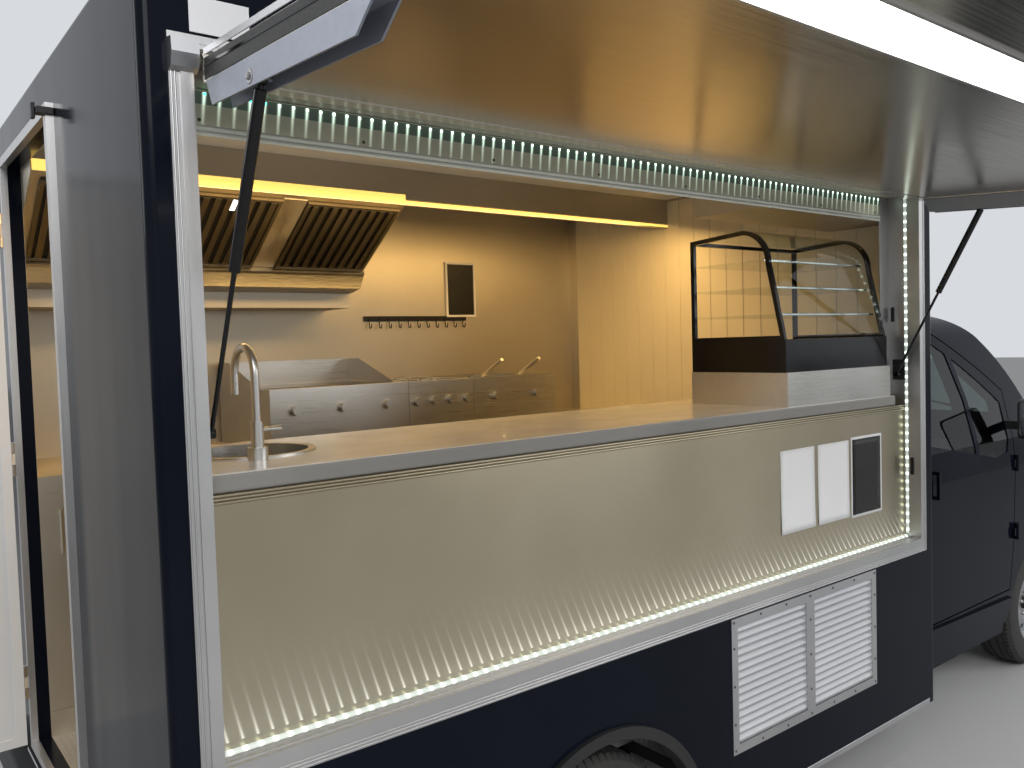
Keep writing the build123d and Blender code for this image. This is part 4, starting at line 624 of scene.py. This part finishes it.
hungSheet("blankSheetRear", (2.109, 2.319), (1.152, 1.449), -1.0506, 0.003, paper)
hungSheet("blankSheetFront", (2.341, 2.551), (1.152, 1.449), -1.0506, 0.002, paper)
hungSheet("cardMount", (2.566, 2.792), (1.144, 1.457), -1.0506, 0.0, paper)
hungSheet("blankCard", (2.576, 2.782), (1.154, 1.447), -1.0512, 0.0, slate)
addMesh("blankSign", boxBar((0.098, -1.1118, 2.482), (0.2195, -1.11, 2.553), 0, 0.0005), paper)

# Far wall: rail with hooks, and a blank board in its frame
hook = {
    "x": np.linspace(1.665, 2.245, 11), "halfWide": 0.002, "top": 2.014, "face": 1.059,
    "outline": [(0.0, 0.0), (0.0, -0.045), (0.006, -0.055), (0.018, -0.058), (0.027, -0.05), (0.027, -0.034),
                (0.023, -0.034), (0.023, -0.047), (0.017, -0.053), (0.009, -0.051), (0.004, -0.043), (0.004, 0.0)],
}
hookShapes = [boxBar((1.64, 1.059, 1.994), (2.27, 1.07, 2.02), 0, 0.002)]
outline = [(midY + hook["face"] - out, hook["top"] + up) for out, up in hook["outline"]]
for x in hook["x"]:
    hookShapes.append(prism(outline, 0, stretch(x - hook["halfWide"], x + hook["halfWide"])))
addMesh("hookRail", joined(hookShapes), slate)
board = {"x": (2.143, 2.34), "z": (2.014, 2.313), "rim": 0.012, "y": (1.058, 1.07), "sheet": 1.063}
(x0, x1), (z0, z1), (y0, y1), rim = board["x"], board["z"], board["y"], board["rim"]
addMesh("boardFrame", joined([
    boxBar((x0, y0, z0), (x1, y1, z0 + rim), 0),
    boxBar((x0, y0, z1 - rim), (x1, y1, z1), 0),
    boxBar((x0, y0, z0 + rim), (x0 + rim, y1, z1 - rim), 2),
    boxBar((x1 - rim, y0, z0 + rim), (x1, y1, z1 - rim), 2),
]), paper)
addMesh("blankBoard", boxBar((x0 + rim, board["sheet"], z0 + rim), (x1 - rim, y1, z1 - rim), 0), slate)

# Hood: warm light strip along its front edge and on along the valance
addMesh("hoodLight", boxBar((0.045, 0.2745, 2.456), (1.426, 0.28, 2.492), 0, 0.0015), ledWarm)
addMesh("valanceLight", boxBar((1.426, 0.2755, 2.456), (3.055, 0.28, 2.468), 0, 0.0015), ledWarm)

# The hood's slope, from its front edge down to the gutter: its run and drop
slopeTop = (0.28, 2.45)
slopeRun, slopeDrop = 0.52, 0.329
slopeAlong = np.array((slopeRun, -slopeDrop)) / math.hypot(slopeRun, slopeDrop)
slopeOut = np.array((slopeAlong[1], -slopeAlong[0]))


def onSlope(along, out):
    return tuple(np.array((midY + slopeTop[0], slopeTop[1])) + slopeAlong * along + slopeOut * out)


def slopeBar(x, along, out, cut=0.002):
    (s0, s1), (o0, o1) = along, out
    corners = ((s0, o0), (s0, o1 - cut), (s0 + cut, o1), (s1 - cut, o1), (s1, o1 - cut), (s1, o0))
    return prism([onSlope(s, o) for s, o in corners], 0, stretch(*x))


# Small lamp on the slope
hoodLamp = {"x": (0.69, 0.745), "y": (0.32, 0.36), "deep": 0.012}
(y0, y1), deep = hoodLamp["y"], hoodLamp["deep"]
outline = [
    (midY + y, slopeTop[1] - slopeDrop / slopeRun * (y - slopeTop[0]) - drop)
    for y, drop in ((y0, 0.0), (y0, deep), (y1, deep), (y1, 0.0))
]
addMesh("hoodLamp", prism(outline, 0, stretch(*hoodLamp["x"])), lampGlow)

# Filters: each is a dark tray, its frame, and upright baffles; a plain plate stands between two of them
filters = {
    "x": ((0.07, 0.479), (0.488, 0.897), (1.0, 1.409)), "along": (0.025, 0.443), "rim": 0.016, "post": 0.014,
    "baffle": 0.023, "pitch": 0.0425, "start": 0.026, "count": 9, "tray": 0.003, "frameOut": 0.014, "baffleOut": 0.013,
}
(low, high), rim, tray = filters["along"], filters["rim"], filters["tray"]
trays, frames = [], []
for x0, x1 in filters["x"]:
    trays.append(slopeBar((x0, x1), (low, high), (0.0, tray)))
    frames.append(slopeBar((x0, x1), (low, low + rim), (tray, filters["frameOut"])))
    frames.append(slopeBar((x0, x1), (high - rim, high), (tray, filters["frameOut"])))
    posts = (x0, x1 - filters["post"])
    for left in posts + tuple(x0 + filters["start"] + filters["pitch"] * np.arange(filters["count"])):
        wide = filters["post"] if left in posts else filters["baffle"]
        frames.append(slopeBar((left, left + wide), (low + rim, high - rim), (tray, filters["baffleOut"])))
addMesh("filterTrays", joined(trays), slate)
addMesh("slopePlate", slopeBar((0.901, 0.996), (0.02, 0.445), (0.0, 0.0025)), kitchenSteel)
addMesh("filterFrames", joined(frames), filterSteel)
gutter = [onSlope(along, out) for along, out in (
    (0.447, 0.0), (0.447, 0.024), (0.462, 0.024), (0.52, 0.05), (0.61, 0.012), (0.61, 0.0),
)]
addMesh("hoodGutter", prism(gutter, 0, stretch(0.042, 1.424)), stainless)

# Griddle plate, and the front edges of the display case's shelves
addMesh("griddlePlate", boxBar((0.905, 0.545, 1.679), (1.51, 1.015, 1.683), 0, 0.0015), castMetal)
shelves = {"x": (2.2, 2.862), "zy": ((1.93, -0.98), (2.03, -0.96), (2.13, -0.93))}
x0, x1 = shelves["x"]
shelfEdges = [boxBar((x0, y - 0.004, z - 0.001), (x1, y, z + 0.007), 0) for z, y in shelves["zy"]]
addMesh("shelfEdges", joined(shelfEdges), chrome)

# Vent: screws round its flange
ventScrews = [(x, -1.114, z) for x in np.linspace(1.75, 2.614, 7) for z in (0.5125, 0.9345)]
ventScrews += [(x, -1.114, z) for x in (1.75, 2.182, 2.614) for z in np.linspace(0.6, 0.85, 3)]
screws("ventScrews", ventScrews, 0.0045, 0.0016)

# Bare strip along the foot of each side wall, ahead of and behind the arch
skirt = {"x": ((0.052, 0.73), (1.60, 3.048)), "z": (0.3, 0.322), "out": (1.11, 1.1128)}
(y0, y1), (z0, z1) = skirt["out"], skirt["z"]
strips = [boxBar((x0, side * y0, z0), (x1, side * y1, z1), 0) for side in (-1, 1) for x0, x1 in skirt["x"]]
addMesh("skirtStrips", joined(strips), aluminium)

# Keeper of the flap's latch on the front jamb, and the catch over the rear doorway
addMesh("latchKeeper", joined([
    boxBar((2.9715, -1.09, 1.27), (2.976, -1.076, 1.34), 2),
    boxBar((2.9715, -1.012, 1.9), (2.976, -1.0, 1.96), 2),
]), slate)
addMesh("doorCatch", joined([
    boxBar((-0.05, -0.322, 2.474), (-0.041, -0.296, 2.512), 2, 0.003),
    boxBar((-0.041, -0.34, 2.484), (-0.0, -0.302, 2.5), 2, 0.003),
]), plastic)


# Flap: trim and dark seal on its end faces, washers and bolts at the strut pins, rim round the lamp

def onFlap(out, deep):
    # A point outwards along the flap and deep towards its underside
    y = hingeY - math.cos(droop) * out + math.sin(droop) * deep
    return (y, hingeZ - math.sin(droop) * out - math.cos(droop) * deep)


flapX = stretch(0.11, 2.966)


def flapEnds(name, shape, thick, material):
    # The same outline on both end faces of the flap
    outline = [onFlap(out, deep) for out, deep in shape]
    spans = ((flapX[0] - thick, flapX[0]), (flapX[1], flapX[1] + thick))
    addMesh(name, joined([prism(outline, 0, span) for span in spans]), material, "flap")


flapEnds("flapEndTrim", [(0.03, 0.0), (1.412, 0.0), (1.412, 0.016), (0.03, 0.012)], 0.0025, aluminium)
flapEnds("flapSeals", [(0.03, 0.018), (1.412, 0.02), (1.412, 0.059), (0.03, 0.059)], 0.0012, rubber)
flapEnds("flapSealRibs", [(0.03, 0.03), (1.412, 0.032), (1.412, 0.037), (0.03, 0.035)], 0.0025, glossBlack)
washer = {"pin": onFlap(0.259, 0.095), "radius": 0.013, "thick": 0.0015, "bolt": 0.007, "head": 0.005}
washers = []
for x, way in ((0.108, -1), (2.968, 1)):
    foot, boltFoot = ((boxRear + x + off * way, *washer["pin"]) for off in (0, washer["thick"]))
    washers.append(studs([foot], (way, 0, 0), washer["radius"], washer["thick"], 20, crown=0.95))
    washers.append(studs([boltFoot], (way, 0, 0), washer["bolt"], washer["head"], 6))
addMesh("pinWashers", joined(washers), galvanised, "flap")
lampRim = []
for near, away in ((0.974, 0.981), (1.099, 1.106)):
    outline = [onFlap(*corner) for corner in ((near, 0.0595), (away, 0.0595), (away, 0.0655), (near, 0.0655))]
    lampRim.append(prism(outline, 0, stretch(0.17, 2.906)))
addMesh("lampRim", joined(lampRim), aluminium, "flap")
print("hatch and kitchen pieces placed")

# Wheels: a treaded tyre in place of each plain one. Lengths in metres; a slot repeats every few of the steps
tyre = {
    "steps": 648, "slotSteps": 9, "crown": 0.3298, "fall": 0.004, "halfTread": 0.0805,
    "edges": (
        0.0805, 0.0765, 0.0755, 0.066, 0.0565, 0.0555, 0.0495, 0.0485, 0.037, 0.0255, 0.0245, 0.0185, 0.0175, 0.009,
    ),
    "grooves": ((0.0183, 0.0247), (0.0493, 0.0557)), "grooveDeep": 0.0065, "slotFrom": 0.053, "slotDeep": 0.006,
    "sipes": (0.0250, 0.0490), "sipeDeep": 0.003, "ribRadius": 0.300, "ribHalf": 0.006, "ribHigh": 0.0012,
    "bead": (0.082, 0.2035),
}


def tyreArrays(centre, side):
    # Profile from bead to bead; the tread drops into two grooves along each half and slots across its shoulders
    flank = np.radians(np.linspace(-58, 52, 9))
    flankY = 0.0945 + 0.008 * np.cos(flank * 1.25)
    sidewall = np.stack([flankY, 0.2565 + 0.052 * np.sin(flank) / math.sin(math.radians(52))], 1)
    sidewall[0] = tyre["bead"]
    edges = np.array(tyre["edges"])
    crown = np.stack([edges, tyre["crown"] - tyre["fall"] * (edges / tyre["halfTread"]) ** 2], 1)
    half = np.vstack([sidewall, crown])
    profile = np.vstack([half, [[0.0, tyre["crown"]]], (half * (-1, 1))[::-1]])
    steps, pitch = tyre["steps"], tyre["slotSteps"]
    step = np.arange(steps)
    angle = 2 * np.pi * step / steps
    across, radius = profile[:, 0][:, None], profile[:, 1][:, None] * np.ones((1, steps))
    away = np.abs(across)
    grooves = np.any([(away > low) & (away < high) for low, high in tyre["grooves"]], axis=0)
    phase = (step + 3 * np.sign(across)) % pitch
    slots = (phase < 2) & (away > tyre["slotFrom"])
    low, high = tyre["sipes"]
    sipes = ((step + 4 + 2 * np.sign(across)) % pitch < 1) & (away > low) & (away < high)
    cuts = tyre["slotDeep"] * (slots & ~grooves) + tyre["sipeDeep"] * (sipes & ~grooves)
    radius -= np.where(away < tyre["halfTread"] + 0.0005, tyre["grooveDeep"] * grooves + cuts, 0)
    ribs = (np.abs(profile[:, 1] - tyre["ribRadius"]) < tyre["ribHalf"])[:, None] & (phase < 2)
    widths = across - np.where(ribs, tyre["ribHigh"] * np.sign(across), 0)
    points = [centre[0] + radius * np.cos(angle), centre[1] + side * widths, centre[2] + radius * np.sin(angle)]
    rows = len(profile)
    i, k = np.meshgrid(np.arange(rows), step, indexing="ij")
    ahead, turned = (i + 1) % rows, (k + 1) % steps
    corners = [i * steps + k, i * steps + turned, ahead * steps + turned, ahead * steps + k]
    quads = np.stack(corners, 2).reshape(-1, 4)
    return np.stack(points, 2).reshape(-1, 3), (quads if side > 0 else quads[:, ::-1]).tolist()


# Nuts, hub cap and valve on each rim; profiles give radius and distance out
nut = {"count": 5, "circle": 0.062, "out": 0.047, "radius": 0.0115, "height": 0.018}
cap = [(0.0335, 0.046), (0.0335, 0.062), (0.031, 0.066), (0.02, 0.0685), (0.002, 0.069)]
valve = [(0.004, 0.0), (0.004, 0.018), (0.003, 0.019), (0.003, 0.026), (0.0015, 0.027)]
nutAngles = np.radians(90 + 360 / nut["count"] * np.arange(nut["count"]))
for name in ("front_left", "front_right", "rear_left", "rear_right"):
    low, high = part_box(f"tyre_{name}")
    centre = [(a + b) / 2 for a, b in zip(low, high)]
    side = 1 if name.endswith("left") else -1
    body = f"wheel_{name}"
    roadTyre = addMesh(f"road_tyre_{name}", tyreArrays(centre, side), tyreRubber, body)
    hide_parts(f"tyre_{name}")
    spots = np.stack([nut["circle"] * np.cos(nutAngles), [side * nut["out"]] * nut["count"],
                      nut["circle"] * np.sin(nutAngles)], 1) + centre
    addMesh(f"wheel_nuts_{name}", studs(spots, (0, side, 0), nut["radius"], nut["height"], 6), galvanised, body)
    addMesh(f"hub_cap_{name}", lathe(cap, centre, (0, side, 0)), plastic, body)
    foot = (centre[0] + 0.152, centre[1] + side * 0.052, centre[2])
    addMesh(f"tyre_valve_{name}", lathe(valve, foot, (0, side, 0), 12), rubber, body)
print("wheels placed")

# Mirror glass: rounded outlines on the rear faces of the housings
mirror = {"corner": 0.022, "rim": 0.012, "endRim": 0.014, "inner": 1.02}
bend = np.radians(np.arange(0, 91, 15))
for side, name in ((-1, "right"), (1, "left")):
    low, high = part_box(f"mirror_{name}")
    outer = low[1] if side < 0 else high[1]
    y0, y1 = sorted((outer - side * mirror["rim"], midY + side * mirror["inner"]))
    z0, z1 = low[2] + mirror["endRim"], high[2] - mirror["endRim"]
    corner = mirror["corner"]
    outline = []
    for cy, cz, start in ((y1, z1, 0), (y0, z1, 90), (y0, z0, 180), (y1, z0, 270)):
        sy, sz = (1 if cy == y1 else -1), (1 if cz == z1 else -1)
        for a in bend + math.radians(start):
            outline.append((cy - sy * corner + corner * math.cos(a), cz - sz * corner + corner * math.sin(a)))
    pane = prism(outline, 0, (low[0] - 0.0015, low[0] + 0.002))
    addMesh(f"mirror_glass_{name}", pane, chrome, f"{name}_cab_door")

# Headlamps: bowls and bulbs behind the lens, before a dark housing; profiles give radius and distance ahead
bowl = [(0.068, 0.0), (0.064, -0.012), (0.054, -0.03), (0.038, -0.046), (0.02, -0.055), (0.012, -0.056)]
bulb = [(0.011, -0.056), (0.012, -0.03), (0.009, -0.022), (0.002, -0.018)]
lampSpots = {"z": 0.797, "yBack": ((0.585, 0.065), (0.73, 0.12))}
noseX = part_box("headlamps")[1][0]
bowls, bulbs, housings = [], [], []
for side in (-1, 1):
    for y, behind in lampSpots["yBack"]:
        centre = (noseX - behind, midY + side * y, lampSpots["z"])
        verts, faces = lathe(bowl[::-1], centre, (1, 0, 0), 40)
        bowls.append((verts, faces[:-2]))  # a bowl is open, so its two caps go
        bulbs.append(lathe(bulb, centre, (1, 0, 0), 20))
    low, high = (noseX - 0.21, midY + side * 0.49, 0.722), (noseX - 0.19, midY + side * 0.84, 0.873)
    housings.append(bar(low, high, 1, 0.004))
addMesh("lampBowls", joined(bowls), chrome, smooth=True)
addMesh("lampBulbs", joined(bulbs), lampGlow, smooth=True)
addMesh("lampHousings", joined(housings), plastic)


# Wipers: lines cast from ahead onto the windscreen

def castOn(piece, starts, direction, lift=0):
    # Points where the rays meet a piece, lifted off it towards where they come from
    path = []
    for start in starts:
        hit, place, normal, face = piece.ray_cast(Vector(start), Vector(direction))
        if hit:
            path.append(place + normal * (-lift if normal.dot(Vector(direction)) > 0 else lift))
    return path


# Off is how far foot and tip of a wiper's part stand from those of its blade
wipers = {
    "blade": {"count": 12, "lift": 0.006, "radius": 0.005, "off": ((0, 0), (0, 0)), "material": rubber},
    "arm": {"count": 8, "lift": 0.014, "radius": 0.006, "off": ((0, -0.02), (-0.25, -0.045)), "material": plastic},
}
for name, ends in (("left", ((-0.06, 1.405), (0.5, 1.50))), ("right", ((-0.62, 1.405), (-0.08, 1.50)))):
    for part, wiper in wipers.items():
        points = np.linspace(*np.add(ends, wiper["off"]), wiper["count"])
        path = castOn(nodes["windscreen"], [(4.0, midY + y, z) for y, z in points], (-1, 0, 0), wiper["lift"])
        tube(f"wiper_{part}_{name}", path, wiper["radius"], wiper["material"])

# Blank plates: the front one on a holder over the bumper, the rear one on the wall
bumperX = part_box("front_bumper")[1][0]
holder = ((bumperX - 0.049, midY - 0.27, 0.545), (bumperX - 0.006, midY + 0.27, 0.665))
plate = ((bumperX - 0.006, midY - 0.26, 0.551), (bumperX - 0.0035, midY + 0.26, 0.659))
addMesh("plateHolderFront", bar(*holder, 1, 0.002), plastic)
addMesh("blankPlateFront", bar(*plate, 1), paper)
addMesh("blankPlateRear", boxBar((-0.006, -0.88, 0.45), (-0.002, -0.36, 0.56), 1), paper)
plateScrews = [atBox(-0.006, y, 0.505) for y in (-0.78, -0.46)]
addMesh("plateScrews", studs(plateScrews, (-1, 0, 0), 0.006, 0.0015, 12), castMetal)
print("cab pieces placed")


# Seats: slim shapes swell under pressure, their movement is capped, and seams follow the swollen surface

def baked(obj):
    graph = bpy.context.evaluated_depsgraph_get()
    mesh = bpy.data.meshes.new_from_object(obj.evaluated_get(graph))
    obj.modifiers.clear()
    obj.data = mesh


def places(mesh):
    co = np.empty(3 * len(mesh.vertices))
    mesh.vertices.foreach_get("co", co)
    return co.reshape(-1, 3)


def swollen(name, arrays, cap):
    obj = addMesh(name, arrays, seatCloth)
    remesh = obj.modifiers.new("voxels", "REMESH")
    remesh.mode = "VOXEL"
    remesh.voxel_size = 0.01
    baked(obj)
    before = places(obj.data)
    cloth = obj.modifiers.new("cloth", "CLOTH")
    cloth.settings.use_pressure = True
    cloth.settings.uniform_pressure_force = 4
    cloth.settings.effector_weights.gravity = 0
    for step in range(1, 21):
        bpy.context.scene.frame_set(step)
    baked(obj)
    shift = places(obj.data) - before
    length = np.linalg.norm(shift, axis=1, keepdims=True)
    shift *= np.minimum(1, cap / np.maximum(length, 1e-9))
    obj.data.vertices.foreach_set("co", (before + shift).ravel())
    bpy.context.scene.frame_set(1)
    obj.data.polygons.foreach_set("use_smooth", [True] * len(obj.data.polygons))
    return obj


def padShape(outline, half, wing, faceWay):
    # Side outline across the seat in five bands; the outer bands stand proud by the wing, and the ends draw in
    outline = np.asarray(outline, float)
    middle = outline.mean(axis=0)
    stations = [(-half, 0.9, 0), (-half * 0.96, 1.0, wing), (-half * 0.62, 1.0, wing), (-half * 0.5, 1.0, 0),
                (half * 0.5, 1.0, 0), (half * 0.62, 1.0, wing), (half * 0.96, 1.0, wing), (half, 0.9, 0)]
    rows = []
    for y, shrink, out in stations:
        ring = middle + (outline - middle) * shrink
        ring[:len(outline) // 2] += np.asarray(faceWay) * out
        rows.append(np.stack([ring[:, 0], np.full(len(ring), y), ring[:, 1]], 1))
    count, last = len(outline), (len(rows) - 1) * len(outline)
    ends = [list(range(count)), [last + k for k in reversed(range(count))]]
    return np.vstack(rows), wallFaces(len(rows), count) + ends


seatX = boxRear + 3.443
seatPlaces = {"left": midY + 0.4, "right": midY - 0.4}
seatShapes = {
    # The first half of each outline is the side that is sat against
    "cushion": {
        "face": (0, 1), "half": 0.222, "wing": 0.018, "cap": 0.022,
        "outline": [(0.1, 0.915), (0.25, 0.912), (0.4, 0.925), (0.435, 0.88), (0.35, 0.815), (0.1, 0.805)],
    },
    "back": {
        "face": (1, 0), "half": 0.222, "wing": 0.022, "cap": 0.022,
        "outline": [(0.085, 0.955), (0.03, 1.22), (-0.03, 1.47), (-0.095, 1.47), (-0.055, 1.22), (-0.005, 0.955)],
    },
    "headrest": {
        "face": (1, 0), "half": 0.13, "wing": 0.0, "cap": 0.016,
        "outline": [(-0.045, 1.53), (-0.055, 1.62), (-0.07, 1.7), (-0.112, 1.7), (-0.105, 1.62), (-0.098, 1.53)],
    },
}
rightY = seatPlaces["right"]
pads = {}
for part, shape in seatShapes.items():
    outline = [(seatX + x, z) for x, z in shape["outline"]]
    verts, faces = padShape(outline, shape["half"], shape["wing"], shape["face"])
    verts[:, 1] += rightY
    pads[part] = swollen(f"seat_{part}_right", (verts, faces), shape["cap"])


seam = {"y": 0.118, "endY": 0.117, "above": 1.3, "ahead": 0.6, "crossX": 0.3}
down, rearward = (0, 0, -1), (-1, 0, 0)
seams = []
for offset in (-seam["y"], seam["y"]):
    line = [(seatX + x, rightY + offset, seam["above"]) for x in np.linspace(0.12, 0.42, 16)]
    seams.append(castOn(pads["cushion"], line, down))
    line = [(seatX + seam["ahead"], rightY + offset, z) for z in np.linspace(0.98, 1.46, 20)]
    seams.append(castOn(pads["back"], line, rearward))
for part, x, direction in (("cushion", seam["crossX"], down), ("back", seam["ahead"], rearward)):
    line = [(seatX + x, rightY + y, seam["above"]) for y in np.linspace(-seam["endY"], seam["endY"], 12)]
    seams.append(castOn(pads[part], line, direction))


# Base, shell and rods of a seat, as side outlines from the seat's own station

def seatPart(name, outline, half, place):
    shape = prism([(seatX + x, z) for x, z in outline], 1, (place - half, place + half))
    piece = addMesh(name, shape, plastic)
    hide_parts("cab_seats")


plinth = [(-0.015, 0.56), (0.36, 0.56), (0.34, 0.79), (0.36, 0.812), (0.02, 0.812), (-0.015, 0.79)]
shell = [(-0.03, 0.8), (0.02, 0.8), (-0.048, 1.22), (-0.085, 1.46), (-0.1, 1.46), (-0.082, 1.2)]
rod = [(-0.066, 1.44), (-0.076, 1.56)]
for side, place in seatPlaces.items():
    move = place - rightY
    for part, pad in pads.items():
        if side == "left":
            mesh = pad.data.copy()
            mesh.transform(Matrix.Translation((0, move, 0)))
            pad = link(f"seat_{part}_left", mesh, "truck")
        smooth = pad.modifiers.new("subdivision", "SUBSURF")
        smooth.levels = smooth.render_levels = 1
        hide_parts("cab_seats")
    for number, path in enumerate(seams):
        if len(path) > 2:
            tube(f"seat_seam_{side}_{number}", [(x, y + move, z) for x, y, z in path], 0.0022, plastic)
    seatPart(f"seat_base_{side}", plinth, 0.21, place)
    for end, y in (("in", place - 0.05), ("out", place + 0.05)):
        tube(f"headrest_rod_{side}_{end}", [(seatX + x, y, z) for x, z in rod], 0.006, chrome)
    seatPart(f"seat_shell_{side}", shell, 0.2, place)
print("seats placed")

# Floor and sky: the sky is brighter to the camera, to glass and to gloss than the light that it gives
groundLook = coat(((0.5, 0.5, 0.5), (0.52, 0.52, 0.515)), (0.6, 0.8), 3, clouds=0.5)
reach, floorZ = 60.0, -0.001
floorMesh = bpy.data.meshes.new("studioFloor")
corners = [(x, y, floorZ) for x, y in ((-reach, -reach), (reach, -reach), (reach, reach), (-reach, reach))]
floorMesh.from_pydata(corners, [], [(0, 1, 2, 3)])
floorMesh.materials.append(finish("studioFloor", groundLook))
floorObject = bpy.data.objects.new("studioFloor", floorMesh)
bpy.context.scene.collection.objects.link(floorObject)

world = bpy.data.worlds.new("studioWorld")
bpy.context.scene.world = world
world.use_nodes = True
tree = world.node_tree
tree.nodes.clear()
out = addNode(tree, "OutputWorld")
skies = []
for color, strength in (((0.95, 0.97, 1.0), 0.4), ((0.8, 0.83, 0.87), 0.85)):
    skies.append(addNode(tree, "Background", Color=(*color, 1), Strength=strength))
rays = addNode(tree, "LightPath").outputs
sharp = total(tree, rays["Is Camera Ray"], total(tree, rays["Is Glossy Ray"], rays["Is Transmission Ray"]))
mix = blend(tree, calc(tree, "MINIMUM", sharp, 1.0), *skies)
tree.links.new(mix.outputs[0], out.inputs["Surface"])


def areaLight(name, place, aim, size, power, color=(1, 1, 1)):
    data = bpy.data.lights.new(name, "AREA")
    data.shape = "RECTANGLE"
    data.size, data.size_y = size
    data.energy = power
    data.color = color
    lamp = bpy.data.objects.new(name, data)
    place, aim = Vector(atBox(*place)), Vector(atBox(*aim))
    turn = (aim - place).to_track_quat("-Z", "Y").to_matrix().to_4x4()
    lamp.matrix_world = Matrix.Translation(place) @ turn
    bpy.context.scene.collection.objects.link(lamp)


areaLight("keyLight", (-1.5, -8.0, 6.0), (1.5, -1.0, 1.3), (5.0, 4.0), 380)
areaLight("fillLight", (7.0, -7.0, 4.0), (2.5, 0.0, 1.3), (5.0, 4.0), 160)
areaLight("topLight", (2.0, 0.5, 9.0), (2.0, 0.0, 1.0), (7.0, 5.0), 160)
areaLight("rearLight", (-6.0, 4.0, 5.0), (0.0, 0.0, 1.3), (4.0, 4.0), 160)
areaLight("kitchenLight", (1.6, 0.12, 2.44), (1.6, 0.45, 1.0), (2.6, 0.2), 25, (1.0, 0.62, 0.22))

# Camera, at the photograph's place and angle
cameraData = bpy.data.cameras.new("camera")
cameraData.sensor_width = 36
cameraData.lens = 30.12
cameraData.clip_end = 200
camera = bpy.data.objects.new("camera", cameraData)
bpy.context.scene.collection.objects.link(camera)
right = (0.7848594, -0.6189459, -0.0300282)
upward = (0.0516256, 0.0170209, 0.9985215)
back = (-0.6175197, -0.7852492, 0.0453125)
turn = Matrix((right, upward, back)).transposed().to_4x4()
camera.matrix_world = Matrix.Translation(atBox(-0.476, -2.826, 1.851)) @ turn
bpy.context.scene.camera = camera
bpy.context.scene.view_settings.view_transform = "Standard"
